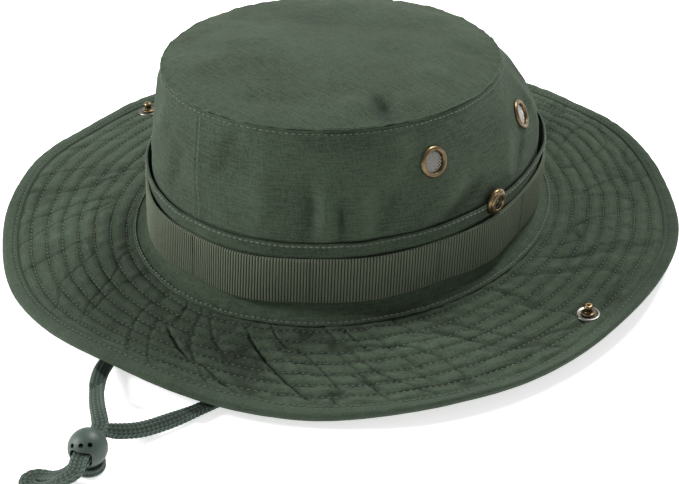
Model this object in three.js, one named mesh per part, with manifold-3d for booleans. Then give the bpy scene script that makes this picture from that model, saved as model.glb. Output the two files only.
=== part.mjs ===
// Boonie hat, standing on its brim. Millimetres, +Z up, the wearer looks along -Y and +X is their left.
// The origin is on the table, under the middle of the hat.
import * as THREE from 'three';
import { mergeVertices } from 'three/addons/utils/BufferGeometryUtils.js';
import Module from 'manifold-3d';

const wasm = await Module();
wasm.setup();

// ---------- driving dimensions ----------
const CLOTH = 1.0;                  // one ply of ripstop with its seam allowance
const GAP = 0.3;                    // air between neighbouring pieces
const RING_STEPS = 48;              // facets round the head

const CROWN_A = 84.0;               // outside of the crown wall, half width (X) and half length (Y)
const CROWN_B = 103.9;
const TIP_A = 68.6;                 // oval of the seam round the top of the crown
const TIP_B = 88.7;
const TIP_LEAN = -13.0;             // the top of the crown sits this far forward
const TIP_Z = 91.0;                 // height of the tip seam at the sides
const TIP_SLOPE = 7.8;              // the seam is this much higher at the front and lower at the back
const TIP_DOME = 6.0;
const SHOULDER = 1.5;               // how late the wall starts to close in

const LIP_Z = 8.4;                  // top of the seam between crown and brim
const LIP_OUT = 9.5;                // the base band flares out this far over the brim
const BAND_TOP = LIP_Z + 36.2;
const WEB_LOW = LIP_Z + 6.8;        // foliage webbing, 22.5 mm wide
const WEB_HIGH = WEB_LOW + 22.5;
const WEB_THICK = 1.4;
const LOOP_BULGE = 1.0;             // each loop of webbing stands off the band
const TACK_ANGLES = [-90, -54, -19, 14, 51, 90];   // bar tacks of the left side; the right mirrors them
const SWEAT_THICK = 1.2;
const SWEAT_TALL = 33.0;

const BRIM_WIDE = 63.0;             // from the lip to the edge
const HEM_WIDE = 6.5;
const HEM_THICK = 0.8;
const BRIM_CAMBER = 1.0;
const SIDE_CURL = 4.0;              // the hem turns up at the left side
// The brim's edge waves: [middle, half width, height], in degrees round the head and in mm. First how far it is off
// the table, then how far it is drawn in.
const EDGE_LIFTS = [[-150, 22, 4.8], [-84, 34, 9], [-52, 26, 2.2], [-28, 24, 2.4], [10, 34, 6.8], [66, 20, 2.6]];
const EDGE_DRAWS = [[-80, 75, 4.6]];
const PLIES = 2 * CLOTH + GAP;
const BRIM_TOP = LIP_Z - CLOTH - GAP;              // top of the brim under the band's foot
const BRIM_LOW = BRIM_TOP - PLIES;
const EDGE_TOP = HEM_THICK + GAP + PLIES;          // top of the plies over a hem that lies on the table

const FOLD_X = 101.5;               // line on which each side of the brim folds up
const STUD_X = 141.3;               // snap stud on the brim
const SOCKET_Z = BAND_TOP;          // snap socket on the crown
const VENTS = [{ end: 'front', y: -33 }, { end: 'back', y: 40 }];
const VENT_DROP = 19.0;             // vent centre below the tip seam

const CORD_WIDE = 6.8;
const CORD_THICK = 2.2;
const LOCK_AT = new THREE.Vector3(48.7, -213.5, 0);
const LOCK_AXIS = new THREE.Vector3(0.413, -0.911, 0).normalize();
const LOCK_BALL = 7.9;
const LOCK_BALL_Z = 10.4;
const LOCK_TRAVEL = 2.2;

// ---------- colours ----------
const finish = (color, roughness, metalness = 0) => new THREE.MeshStandardMaterial({ color, roughness, metalness });
const RIPSTOP = finish(0x4c5a48, 0.92);
const RIPSTOP_DARK = finish(0x3f4a3a, 0.94);
const WEBBING = finish(0x454d3e, 0.9);
const BRASS = finish(0x6b5a3a, 0.42, 0.9);
const PEWTER = finish(0x77776f, 0.4, 0.9);
const STEEL = finish(0x8a8a86, 0.35, 1.0);
const MESH = finish(0x51523f, 0.6, 0.5);
const CORD = finish(0x3e4c3f, 0.9);
const PLASTIC = finish(0x46564c, 0.5);

// ---------- making closed solids ----------
const rad = THREE.MathUtils.degToRad;
const mix = THREE.MathUtils.lerp;
const smooth = THREE.MathUtils.smoothstep;

function signedVolume(points, faces) {
  return faces.reduce((sum, [a, b, c]) => sum + points[a].dot(points[b].clone().cross(points[c])), 0);
}

// A closed geometry from points and triangles, with its faces turned outwards.
function solid(points, faces) {
  const outward = signedVolume(points, faces) > 0 ? faces : faces.map(([a, b, c]) => [a, c, b]);
  const geometry = new THREE.BufferGeometry().setFromPoints(points);
  geometry.setIndex(outward.flat());
  return geometry;
}

// Sweeps a closed outline round the head. outline(t) gives the same number of points for every t: one face of the
// sheet, then the other face backwards. Both faces are split along the same diagonals, so they stay parallel.
function sweep(outline, from = 0, to = 2 * Math.PI, steps = RING_STEPS) {
  const whole = to - from > 2 * Math.PI - 1e-6;
  const rows = whole ? steps : steps + 1;
  const sections = Array.from({ length: rows }, (_, k) => outline(mix(from, to, k / steps)));
  const size = sections[0].length;
  const faces = [];
  for (let k = 0; k < steps; k++) {
    const here = k * size;
    const next = ((k + 1) % rows) * size;
    for (let i = 0; i < size; i++) {
      const j = (i + 1) % size;
      if (i < size / 2) {
        faces.push([here + i, next + i, next + j], [here + i, next + j, here + j]);
      } else {
        faces.push([here + i, next + i, here + j], [next + i, next + j, here + j]);
      }
    }
  }
  if (!whole) {
    for (let i = 0; i < size / 2 - 1; i++) {
      const quad = [i, i + 1, size - 2 - i, size - 1 - i];
      const far = steps * size;
      faces.push([quad[0], quad[1], quad[2]], [quad[0], quad[2], quad[3]]);
      faces.push([far + quad[0], far + quad[2], far + quad[1]], [far + quad[0], far + quad[3], far + quad[2]]);
    }
  }
  return solid(sections.flat(), faces);
}

function toManifold(geometry) {
  const bare = geometry.clone();
  bare.deleteAttribute('normal');
  bare.deleteAttribute('uv');
  const merged = mergeVertices(bare, 1e-4);
  const triVerts = new Uint32Array(merged.index.array);
  const vertProperties = new Float32Array(merged.attributes.position.array);
  return new wasm.Manifold(new wasm.Mesh({ numProp: 3, vertProperties, triVerts }));
}

function fromManifold(manifold) {
  const { vertProperties, triVerts } = manifold.getMesh();
  const geometry = new THREE.BufferGeometry();
  geometry.setAttribute('position', new THREE.BufferAttribute(vertProperties, 3));
  geometry.setIndex(new THREE.BufferAttribute(triVerts, 1));
  return geometry;
}

const cut = (geometry, ...tools) => fromManifold(
  tools.reduce((body, tool) => body.subtract(toManifold(tool)), toManifold(geometry)));
const keep = (geometry, tool) => fromManifold(toManifold(geometry).intersect(toManifold(tool)));

// Turned pieces: the profile is [radius, height] pairs round the +Z axis, closed on itself.
function turned(profile, segments = 16) {
  const points = [...profile, profile[0]].map(([r, z]) => new THREE.Vector2(r, z));
  return new THREE.LatheGeometry(points, segments).rotateX(Math.PI / 2);
}

const ringProfile = (inner, outer, low, high) => [[inner, low], [outer, low], [outer, high], [inner, high]];
const box = (x0, x1, y0, y1, z0, z1) => new THREE.BoxGeometry(x1 - x0, y1 - y0, z1 - z0)
  .translate((x0 + x1) / 2, (y0 + y1) / 2, (z0 + z1) / 2);

// ---------- the shape of the cloth ----------
// t runs round the head: 0 is the wearer's left, -90 degrees the front.
function oval(t, a, b, z, lean = 0) {
  return new THREE.Vector3(a * Math.cos(t), lean + b * Math.sin(t), z);
}

const tipSeamZ = (t) => TIP_Z - TIP_SLOPE * Math.sin(t);

// Crown wall at height z, moved outwards by out.
function wallPoint(t, z, out = 0) {
  const rise = THREE.MathUtils.clamp((z - BAND_TOP) / (tipSeamZ(t) - BAND_TOP), 0, 1) ** SHOULDER;
  return oval(t, mix(CROWN_A, TIP_A, rise) + out, mix(CROWN_B, TIP_B, rise) + out, z, TIP_LEAN * rise);
}

// Where the wall passes through the plane y, at height z on side +1 (left) or -1 (right), with its outward normal.
function wallSpot(y, z, side) {
  let t = 0;
  for (let i = 0; i < 20; i++) {
    t += (y - wallPoint(t, z).y) / CROWN_B;
  }
  const step = 0.02;
  const along = wallPoint(t + step, z).sub(wallPoint(t - step, z));
  const upward = wallPoint(t, z + 1).sub(wallPoint(t, z - 1));
  const at = wallPoint(t, z);
  const normal = along.cross(upward).normalize();
  at.x *= side;
  normal.x *= side;
  return { at, normal };
}

// Adds up waves of the brim's edge at t.
function waved(waves, t) {
  return waves.reduce((sum, [middle, half, height]) => {
    const away = THREE.MathUtils.euclideanModulo(THREE.MathUtils.radToDeg(t) - middle + 180, 360) - 180;
    return sum + height * smooth(1 - Math.abs(away) / half, 0, 1);
  }, 0);
}

// Share of the way from the lip to the hem, for a distance out from the crown wall along the cloth.
const brimShare = (out) => THREE.MathUtils.clamp((out - LIP_OUT) / (BRIM_WIDE - HEM_WIDE), 0, 1);

// Top of the brim.
function brimTop(t, out) {
  const u = brimShare(out);
  const overHem = Math.max(0, out - LIP_OUT - BRIM_WIDE + HEM_WIDE) / HEM_WIDE;
  const curl = SIDE_CURL * smooth(Math.cos(t), 0.6, 1) * overHem ** 1.5;
  return mix(BRIM_TOP, EDGE_TOP, u) + waved(EDGE_LIFTS, t) * u ** 2 + BRIM_CAMBER * 4 * u * (1 - u) + curl;
}

function brimPoint(t, out, below = 0) {
  const reach = out - waved(EDGE_DRAWS, t) * brimShare(out) ** 2;
  return oval(t, CROWN_A + reach, CROWN_B + reach, brimTop(t, out) - below);
}

// ---------- crown ----------
const WALL_LEVELS = [0, 0.3, 0.55, 0.8, 1];

function crownWall(middle) {
  const outline = (t) => {
    const top = tipSeamZ(t) - GAP;
    const heights = [BRIM_LOW, ...WALL_LEVELS.map((u) => mix(BAND_TOP, top, u))];
    const outside = heights.map((z) => wallPoint(t, z));
    const inside = heights.map((z) => wallPoint(t, z, -CLOTH)).reverse();
    return [...outside, ...inside];
  };
  const seam = rad(0.1);
  return sweep(outline, middle - rad(90) + seam, middle + rad(90) - seam, RING_STEPS / 2);
}

function crownTip() {
  const rings = [1, 0.97, 0.9, 0.75, 0.5, 0.25];
  const steps = RING_STEPS / 2;
  const height = (r, t) => TIP_Z - TIP_SLOPE * r * Math.sin(t) + TIP_DOME * (1 - r ** 3);
  const layer = (raise) => rings.flatMap((r) => Array.from({ length: steps }, (_, k) => {
    const t = (2 * Math.PI * k) / steps;
    return oval(t, TIP_A * r, TIP_B * r, height(r, t) + raise, TIP_LEAN);
  }));
  const top = layer(CLOTH);
  const bottom = layer(0);
  const points = [...top, oval(0, 0, 0, height(0, 0) + CLOTH, TIP_LEAN),
    ...bottom, oval(0, 0, 0, height(0, 0), TIP_LEAN)];
  const under = top.length + 1;
  const faces = [];
  for (let k = 0; k < steps; k++) {
    const n = (k + 1) % steps;
    for (let i = 0; i < rings.length - 1; i++) {
      const [a, b, c, d] = [i * steps + k, i * steps + n, (i + 1) * steps + n, (i + 1) * steps + k];
      faces.push([a, b, c], [a, c, d], [under + a, under + c, under + b], [under + a, under + d, under + c]);
    }
    const last = (rings.length - 1) * steps;
    faces.push([last + k, last + n, top.length], [under + last + n, under + last + k, under + top.length]);
    faces.push([k, under + n, n], [k, under + k, under + n]);
  }
  return solid(points, faces);
}

// The base band stands on the brim with a flared foot and closes on the wall above the webbing.
function baseBand() {
  const outside = [[LIP_OUT, -1], [LIP_OUT, -0.3], [8, 0.2], [5, 0.7], [2.7, 2.4], [1.6, 5], [CLOTH + GAP, 6.5]];
  const inside = [[GAP, 7], [0.7, 4.6], [1.8, 1.9], [4.4, -0.3], [7.4, -1]];
  const outline = (t) => [
    ...outside.map(([out, z]) => wallPoint(t, LIP_Z + z, out)),
    wallPoint(t, BAND_TOP, CLOTH + GAP),
    wallPoint(t, BAND_TOP, GAP),
    ...inside.map(([out, z]) => wallPoint(t, LIP_Z + z, out)),
  ];
  return sweep(outline);
}

// How far a loop of webbing stands off, between two bar tacks.
function loopBulge(t) {
  const fold = THREE.MathUtils.radToDeg(Math.asin(Math.sin(t)));
  const next = TACK_ANGLES.findIndex((angle) => angle > fold);
  const high = next < 0 ? TACK_ANGLES.length - 1 : next;
  const [a, b] = [TACK_ANGLES[high - 1], TACK_ANGLES[high]];
  return LOOP_BULGE * Math.sin((Math.PI * (fold - a)) / (b - a)) ** 2;
}

function foliageWebbing() {
  const near = CLOTH + 2 * GAP;
  const outline = (t) => {
    const low = near + loopBulge(t);
    const far = low + WEB_THICK;
    return [[far, WEB_LOW], [far, WEB_HIGH], [low, WEB_HIGH], [low, WEB_LOW]]
      .map(([out, z]) => oval(t, CROWN_A + out, CROWN_B + out, z));
  };
  return sweep(outline);
}

function sweatband() {
  const near = -(CLOTH + GAP);
  const far = near - SWEAT_THICK;
  const top = BRIM_LOW + SWEAT_TALL;
  return sweep((t) => [[near, BRIM_LOW], [near, top], [far, top], [far, BRIM_LOW]]
    .map(([out, z]) => oval(t, CROWN_A + out, CROWN_B + out, z)));
}

// ---------- brim ----------
const PLY_STATIONS = [GAP, LIP_OUT, 36, 55, 66, 69, LIP_OUT + BRIM_WIDE - HEM_THICK - GAP];
const UPPER_PLY = 0;
const LOWER_PLY = CLOTH + GAP;

function brimPly(below) {
  return sweep((t) => [
    ...PLY_STATIONS.map((out) => brimPoint(t, out, below)),
    ...PLY_STATIONS.map((out) => brimPoint(t, out, below + CLOTH)).reverse(),
  ]);
}

// Binding folded over the edge of both plies, in the shape of a U.
function hemRing() {
  const edge = LIP_OUT + BRIM_WIDE;
  const start = edge - HEM_WIDE;
  const cover = GAP + HEM_THICK;
  const under = PLIES + cover;
  const stations = [start, start + 3, edge];
  const plyEdge = edge - HEM_THICK;
  const slot = [start, start + 3, plyEdge];
  return sweep((t) => [
    ...stations.map((out) => brimPoint(t, out, -cover)),
    ...stations.map((out) => brimPoint(t, out, under)).reverse(),
    ...slot.map((out) => brimPoint(t, out, PLIES + GAP)),
    ...slot.map((out) => brimPoint(t, out, -GAP)).reverse(),
  ]);
}

// The brim divides at the fold lines, and each ply at the side seams as well.
const FAR = 400;
const HALF = GAP / 2;
const FRONT = { y: [-FAR, -HALF] };
const BACK = { y: [HALF, FAR] };
const MIDDLE = { x: [-FOLD_X + HALF, FOLD_X - HALF] };
const LEFT = { x: [FOLD_X + HALF, FAR] };
const RIGHT = { x: [-FAR, -FOLD_X - HALF] };

function region({ x = [-FAR, FAR] }, { y = [-FAR, FAR] } = {}) {
  return box(x[0], x[1], y[0], y[1], -FAR, FAR);
}

// ---------- metal fittings, each round its own +Z axis, with z = 0 on the cloth ----------
const VENT_HOLE = 5.8;
const SOCKET_HOLE = 2.9;
const STUD_HOLE = 1.9;

const ventRing = () => turned([[4.8, -2.5], [5.4, -2.5], [5.4, 0.35], [7, 0.35], [6.6, 1.3], [5.4, 1.3], [4.8, 0.9]]);
const ventMesh = () => new THREE.CylinderGeometry(4.5, 4.5, 0.4, 16).rotateX(Math.PI / 2).translate(0, 0, -0.1);
const ventWasher = () => turned(ringProfile(5.7, 7.4, -2.5, -1.6));
const socketBody = () => turned([[1.5, -3.2], [2.3, -3.2], [2.3, 1.7], [6.2, 1.7], [6.2, 3.6], [5.2, 4.6], [2.9, 4.6],
  [2.9, 2.6], [1.5, 2.6]]);
const socketSpring = () => turned(ringProfile(2.3, 2.65, 2.9, 3.9), 12);
const socketEyelet = () => turned(ringProfile(2.6, 4.9, -2.9, -2.1));
const studWasher = () => turned([[2.4, 0.35], [5.5, 0.35], [5.5, 0.9], [5, 1.2], [4.4, 0.9], [2.4, 0.9]]);
const studPost = () => turned([[0.6, -2.6], [1.5, -2.6], [1.5, 1.3], [3.1, 1.3], [3.1, 1.8], [1.7, 2.2], [1.7, 4],
  [2.1, 4.5], [2.1, 5.1], [1.5, 5.7], [0.6, 5.7]], 14);
const studCap = () => turned(ringProfile(0.9, 5, -3.7, -2.9));

// ---------- cord lock, on its own +Z axis with z = 0 on the table ----------
const SLOT_LOW = 7.5;
const SLOT_HIGH = 13.0;
const SLOT_HALF = 3.8;
const BALL_CUT = 6.2;               // the ball is flat underneath
const LOCK_BORE = [[5.25, 15.2], [3.9, 16.6]];      // radius and height where the bore closes in and where it ends

function lockBody() {
  const dome = [];
  const start = Math.asin((BALL_CUT - LOCK_BALL_Z) / LOCK_BALL);
  for (let i = 0; i <= 8; i++) {
    const angle = mix(start, Math.PI / 2, i / 8);
    dome.push([Math.max(0, LOCK_BALL * Math.cos(angle)), LOCK_BALL_Z + LOCK_BALL * Math.sin(angle)]);
  }
  const [shoulder, end] = LOCK_BORE;
  const profile = [[shoulder[0], BALL_CUT], ...dome, [0, end[1]], end, shoulder];
  return cut(turned(profile, 20), box(-SLOT_HALF, SLOT_HALF, -20, 20, SLOT_LOW, SLOT_HIGH));
}

function lockButton() {
  const [stem, base] = [4.9, 6.75];
  const profile = [[0, 0.3], [base - 0.5, 0.3], [base, 0.8], [base, 1.6], [base - 0.3, 1.9], [base, 2.2], [base, 3.2],
    [base - 0.5, 3.7], [stem, 3.7], [stem, 13], [stem - 1.3, 14], [0, 14]];
  return cut(turned(profile, 20), box(-SLOT_HALF, SLOT_HALF, -20, 20, SLOT_LOW - LOCK_TRAVEL - 0.1, SLOT_HIGH));
}

const lockSpring = () => turned(ringProfile(2.2, 3.4, 16.25, 16.55));

// ---------- chin cord ----------
// One flat braid from the left anchor, through the lock, round its loop, back through the lock and to the right
// anchor. The points were chosen by hand: on the table a strand's middle is 1.4 mm up.
const CORD_ROUTE = [
  [78.2, 0, 9.5], [72.5, -1, 8.8], [66, -4, 4.6], [60, -10, 1.5], [57, -24, 1.4], [60, -40, 1.4], [56, -55, 1.4],
  [40, -60, 1.4], [22, -54, 1.4], [8, -62, 1.4], [10, -78, 1.4], [26, -86, 1.4], [42, -92, 1.4], [54, -106, 1.4],
  [58.5, -128, 1.4], [57.8, -148, 1.6], [56, -162, 2.2], [53.4, -176, 3.2], [50.5, -187.5, 4.6], [47.2, -195.6, 6.8],
  [44.8, -200.2, 8.4], [44.3, -203.9, 9], [48.7, -213.5, 9], [52.5, -221.9, 8.8], [51.7, -226, 7.9],
  [48.6, -228.3, 5.8], [44.8, -229.2, 3.4], [41.4, -229.7, 1.7], [38.9, -230.8, 1.4], [37.6, -232.9, 1.4],
  [37.9, -235.3, 1.4], [39.8, -237, 1.4], [42.4, -237.4, 1.6], [46.6, -236.8, 3.3], [51.4, -235.4, 6.8],
  [55.4, -232.2, 9.9], [56.8, -227.6, 11.2], [53.2, -222.4, 11.5], [48.7, -213.5, 11.5], [43.7, -202.6, 11.5],
  [38, -198, 11.2], [30.3, -192.2, 9.8], [21, -184, 7.8], [12, -173.8, 5.4], [4.6, -161.5, 2.8], [-1.5, -146, 1.5],
  [-5, -126, 1.4], [-8, -106, 1.4], [-18, -88, 1.4], [-36, -80, 1.4], [-44, -66, 1.4], [-32, -54, 1.4],
  [-16, -46, 1.4], [-14, -30, 1.4], [-28, -22, 1.4], [-44, -26, 1.4], [-57, -18, 1.6], [-66, -6, 4.6],
  [-72.5, -1, 8.8], [-78.2, 0, 9.5],
];

function chinCord() {
  const path = new THREE.CatmullRomCurve3(CORD_ROUTE.map((point) => new THREE.Vector3(...point)));
  const steps = Math.round(1.5 * (CORD_ROUTE.length - 1));
  const outline = (u) => {
    const at = path.getPoint(u);
    const ahead = path.getTangent(u);
    const across = new THREE.Vector3(ahead.y, -ahead.x, 0).normalize();
    const up = across.clone().cross(ahead).normalize();
    return Array.from({ length: 8 }, (_, i) => {
      const angle = rad(45 * i + 22.5);
      return at.clone().addScaledVector(across, (CORD_WIDE / 2) * Math.cos(angle) / Math.cos(rad(22.5)))
        .addScaledVector(up, (CORD_THICK / 2) * Math.sin(angle) / Math.cos(rad(22.5)));
    });
  };
  return sweep(outline, 0, 1, steps);
}

// ---------- assembly ----------
const hat = new THREE.Group();

function add(name, geometry, material, parent = hat) {
  const mesh = new THREE.Mesh(geometry, material);
  mesh.name = name;
  parent.add(mesh);
  return mesh;
}

// A group whose +Z axis is the given normal.
function seat(at, normal) {
  const group = new THREE.Group();
  group.position.copy(at);
  group.quaternion.setFromUnitVectors(new THREE.Vector3(0, 0, 1), normal);
  hat.add(group);
  return group;
}

// A cutter along a seat's axis.
function drill(at, normal, radius) {
  const turn = new THREE.Quaternion().setFromUnitVectors(new THREE.Vector3(0, 0, 1), normal);
  return new THREE.CylinderGeometry(radius, radius, 12, 18).rotateX(Math.PI / 2).applyQuaternion(turn)
    .translate(at.x, at.y, at.z);
}

function addCrown() {
  const band = { geometry: baseBand(), holes: [] };
  for (const [side, sign] of [['left', 1], ['right', -1]]) {
    const socket = { at: wallPoint(0, SOCKET_Z), normal: new THREE.Vector3(sign, 0, 0) };
    socket.at.x *= sign;
    const socketDrill = drill(socket.at, socket.normal, SOCKET_HOLE);
    band.holes.push(socketDrill);
    const holes = [socketDrill];
    for (const { end, y } of VENTS) {
      const height = tipSeamZ(Math.asin((y - TIP_LEAN) / TIP_B)) - VENT_DROP;
      const { at, normal } = wallSpot(y, height, sign);
      holes.push(drill(at, normal, VENT_HOLE));
      const vent = seat(at, normal);
      add(`vent_${side}_${end}_ring`, ventRing(), BRASS, vent);
      add(`vent_${side}_${end}_mesh`, ventMesh(), MESH, vent);
      add(`vent_${side}_${end}_washer`, ventWasher(), BRASS, vent);
    }
    add(`crown_wall_${side}`, cut(crownWall(sign > 0 ? 0 : Math.PI), ...holes), RIPSTOP);
    const snap = seat(socket.at, socket.normal);
    add(`snap_socket_${side}`, socketBody(), BRASS, snap);
    add(`snap_socket_spring_${side}`, socketSpring(), STEEL, snap);
    add(`snap_socket_eyelet_${side}`, socketEyelet(), BRASS, snap);
  }
  add('crown_tip', crownTip(), RIPSTOP);
  add('base_band', cut(band.geometry, ...band.holes), RIPSTOP);
  add('foliage_webbing', foliageWebbing(), WEBBING);
  add('sweatband', sweatband(), RIPSTOP_DARK);
}

function addBrim() {
  const studs = [1, -1].map((sign) => {
    const t = sign > 0 ? 0 : Math.PI;
    const out = STUD_X - CROWN_A;
    const along = brimPoint(t + 0.02, out).sub(brimPoint(t - 0.02, out));
    const normal = brimPoint(t, out + 1).sub(brimPoint(t, out - 1)).cross(along).normalize();
    return { sign, at: new THREE.Vector3(sign * STUD_X, 0, brimTop(t, out)), normal };
  });
  const holes = studs.map(({ at, normal }) => drill(at, normal, STUD_HOLE));
  const plies = { upper: cut(brimPly(UPPER_PLY), ...holes), lower: cut(brimPly(LOWER_PLY), ...holes) };
  for (const [ply, geometry] of Object.entries(plies)) {
    const material = ply === 'upper' ? RIPSTOP : RIPSTOP_DARK;
    for (const [end, half] of [['front', FRONT], ['back', BACK]]) {
      add(`brim_${ply}_${end}`, keep(geometry, region(MIDDLE, half)), material);
      add(`flap_left_${ply}_${end}`, keep(geometry, region(LEFT, half)), material);
      add(`flap_right_${ply}_${end}`, keep(geometry, region(RIGHT, half)), material);
    }
  }
  const hem = hemRing();
  add('hem_front', keep(hem, region(MIDDLE, FRONT)), RIPSTOP);
  add('hem_back', keep(hem, region(MIDDLE, BACK)), RIPSTOP);
  add('hem_left', keep(hem, region(LEFT)), RIPSTOP);
  add('hem_right', keep(hem, region(RIGHT)), RIPSTOP);
  for (const { sign, at, normal } of studs) {
    const side = sign > 0 ? 'left' : 'right';
    const stud = seat(at, normal);
    add(`snap_stud_${side}`, studPost(), BRASS, stud);
    add(`stud_washer_${side}`, studWasher(), PEWTER, stud);
    add(`stud_cap_${side}`, studCap(), PEWTER, stud);
  }
}

function addChinCord() {
  add('chin_cord', chinCord(), CORD);
  const inside = CROWN_A - CLOTH - 2 * GAP - SWEAT_THICK;
  for (const [side, sign] of [['left', 1], ['right', -1]]) {
    const tab = box(inside - 2.4, inside - 0.4, -5, 5, BRIM_LOW, 19);
    add(`cord_anchor_${side}`, sign > 0 ? tab : tab.rotateZ(Math.PI), RIPSTOP_DARK);
  }
  const lock = new THREE.Group();
  lock.position.copy(LOCK_AT);
  lock.rotation.z = Math.atan2(LOCK_AXIS.y, LOCK_AXIS.x) + Math.PI / 2;
  hat.add(lock);
  add('cord_lock_body', lockBody(), PLASTIC, lock);
  add('cord_lock_button', lockButton(), PLASTIC, lock);
  add('cord_lock_spring', lockSpring(), STEEL, lock);
}

addCrown();
addBrim();
addChinCord();

export default hat;
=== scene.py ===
"""A boonie hat lying on its brim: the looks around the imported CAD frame.

Shapes are worked out in millimetres and stored in metres. +X is the wearer's left, the front is -Y and +Z is
up. t is an angle round the head in radians, 0 at the wearer's left and minus a quarter turn at the front.
out is the distance outside the crown wall's oval.
"""
import math

import bmesh
import bpy
import numpy as np
from mathutils import Matrix, Vector


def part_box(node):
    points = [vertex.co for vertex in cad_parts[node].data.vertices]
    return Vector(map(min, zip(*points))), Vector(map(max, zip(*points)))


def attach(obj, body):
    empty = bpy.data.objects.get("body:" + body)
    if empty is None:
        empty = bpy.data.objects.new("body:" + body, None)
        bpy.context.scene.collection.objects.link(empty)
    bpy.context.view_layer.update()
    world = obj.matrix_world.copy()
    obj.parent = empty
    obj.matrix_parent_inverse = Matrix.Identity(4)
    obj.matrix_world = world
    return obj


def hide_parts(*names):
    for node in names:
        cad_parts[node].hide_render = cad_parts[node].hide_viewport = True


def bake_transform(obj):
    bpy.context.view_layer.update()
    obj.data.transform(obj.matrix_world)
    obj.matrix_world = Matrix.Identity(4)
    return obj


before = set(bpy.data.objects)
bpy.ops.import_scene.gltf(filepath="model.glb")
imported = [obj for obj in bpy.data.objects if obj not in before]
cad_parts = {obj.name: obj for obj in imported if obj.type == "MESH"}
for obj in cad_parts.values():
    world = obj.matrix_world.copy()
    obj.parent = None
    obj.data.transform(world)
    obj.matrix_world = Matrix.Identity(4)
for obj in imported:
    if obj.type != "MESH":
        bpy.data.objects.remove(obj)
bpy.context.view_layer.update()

MM = 0.001
TURN = 2 * np.pi

# ---------- sizes of the hat, in millimetres ----------
CLOTH, GAP = 1.0, 0.3
CROWN_A, CROWN_B = 84.0, 103.9          # outside of the crown wall, half width and half length
TIP_A, TIP_B, TIP_LEAN = 68.6, 88.7, -13.0
TIP_Z, TIP_SLOPE, TIP_DOME, SHOULDER = 91.0, 7.8, 6.0, 1.5
LIP_Z, LIP_OUT = 8.4, 9.5               # the base band's foot over the brim
BAND_TOP = LIP_Z + 36.2
WEB_LOW, WEB_HIGH, WEB_THICK, LOOP_BULGE = 15.2, 37.7, 1.4, 1.0
TACK_ANGLES = [-90, -54, -19, 14, 51, 90]
SWEAT_TALL = 33.0
BRIM_WIDE, HEM_WIDE, HEM_THICK = 63.0, 6.5, 0.8
BRIM_CAMBER, SIDE_CURL = 1.0, 4.0
# Waves of the brim's edge, off the table and drawn in: middle and half width in degrees, and height.
EDGE_LIFTS = [(-150, 22, 4.8), (-84, 34, 9), (-52, 26, 2.2), (-28, 24, 2.4), (10, 34, 6.8), (66, 20, 2.6)]
EDGE_DRAWS = [(-80, 75, 4.6)]
PLIES = 2 * CLOTH + GAP
BRIM_TOP = LIP_Z - CLOTH - GAP
BRIM_LOW = BRIM_TOP - PLIES
EDGE_TOP = HEM_THICK + GAP + PLIES
EDGE_OUT = LIP_OUT + BRIM_WIDE
CREASE_OUT = EDGE_OUT - HEM_WIDE
STUD_X = 141.3
VENTS = {"front": -33.0, "back": 40.0}
VENT_DROP = 19.0
VENT_HOLE, SNAP_HOLE = 5.7, 2.9         # radii of the holes in the crown wall
FIRST_ROW, ROW_PITCH, ROWS = 13.0, 7.7, 7   # stitch rows of the brim
THREAD = 0.24

# ---------- camera ----------
EYE = Vector((0.4192, -0.5178, 0.4144))
AIM = Vector((0.0176, -0.0261, 0.0040))
ROLL = math.radians(2.46)
LENS, SENSOR = 83.65, 36.0              # millimetres


def linked(name, data):
    """A new object of the scene."""
    made = bpy.data.objects.new(name, data)
    bpy.context.scene.collection.objects.link(made)
    return made


def add_camera():
    data = bpy.data.cameras.new("camera")
    data.lens, data.sensor_width = LENS, SENSOR
    data.clip_start, data.clip_end = 0.01, 20.0
    camera = linked("camera", data)
    ahead = (AIM - EYE).normalized()
    right = ahead.cross(Vector((0, 0, 1))).normalized()
    up = right.cross(ahead)
    across = math.cos(ROLL) * right + math.sin(ROLL) * up
    upright = math.cos(ROLL) * up - math.sin(ROLL) * right
    turn = Matrix((across, upright, -ahead)).transposed()
    camera.matrix_world = Matrix.Translation(EYE) @ turn.to_4x4()
    bpy.context.scene.camera = camera


add_camera()


# ---------- numbers ----------
NOISE_ROWS = 64


def smooth(x, low, high):
    """Rises softly from 0 at low to 1 at high."""
    u = np.clip((x - low) / (high - low), 0, 1)
    return u * u * (3 - 2 * u)


def mix(a, b, u):
    """From a to b as u goes from 0 to 1."""
    return a + (b - a) * u


def bump(x, middle, width):
    """A round bump of height 1."""
    return np.exp(-(((x - middle) / width) ** 2))


def wrap(angle):
    """An angle in degrees, brought to between -180 and 180."""
    return np.mod(angle + 180, 360) - 180


def waves(t, v, cells, seed):
    """Smooth noise between -1 and 1. It has cells bumps round the head, where it closes on itself, and one in
    each unit of v."""
    table = np.random.default_rng(seed).uniform(-1, 1, (cells, NOISE_ROWS))
    x, v = np.broadcast_arrays(np.mod(t / TURN, 1) * cells, v)
    i, j = np.floor(x).astype(int), np.floor(v).astype(int)
    fx, fy = smooth(x - i, 0, 1), smooth(v - j, 0, 1)

    def corner(a, b):
        return table[(i + a) % cells, (j + b) % NOISE_ROWS]

    return mix(mix(corner(0, 0), corner(1, 0), fx), mix(corner(0, 1), corner(1, 1), fx), fy)


def flat_waves(x, y, size, seed, shift=0.0):
    """The same noise on a plane, with bumps of that size in millimetres."""
    return waves(x / size * TURN / NOISE_ROWS, y / size + shift, NOISE_ROWS, seed)


def reach_of(line):
    """How far along the line each of its points is."""
    return np.concatenate([[0], np.cumsum(np.linalg.norm(np.diff(line, axis=0), axis=1))])


def oval(t, a, b, z, lean=0.0):
    """Points on a level oval, its middle moved along Y by lean."""
    return np.stack(np.broadcast_arrays(a * np.cos(t), lean + b * np.sin(t), z), axis=-1)


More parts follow.
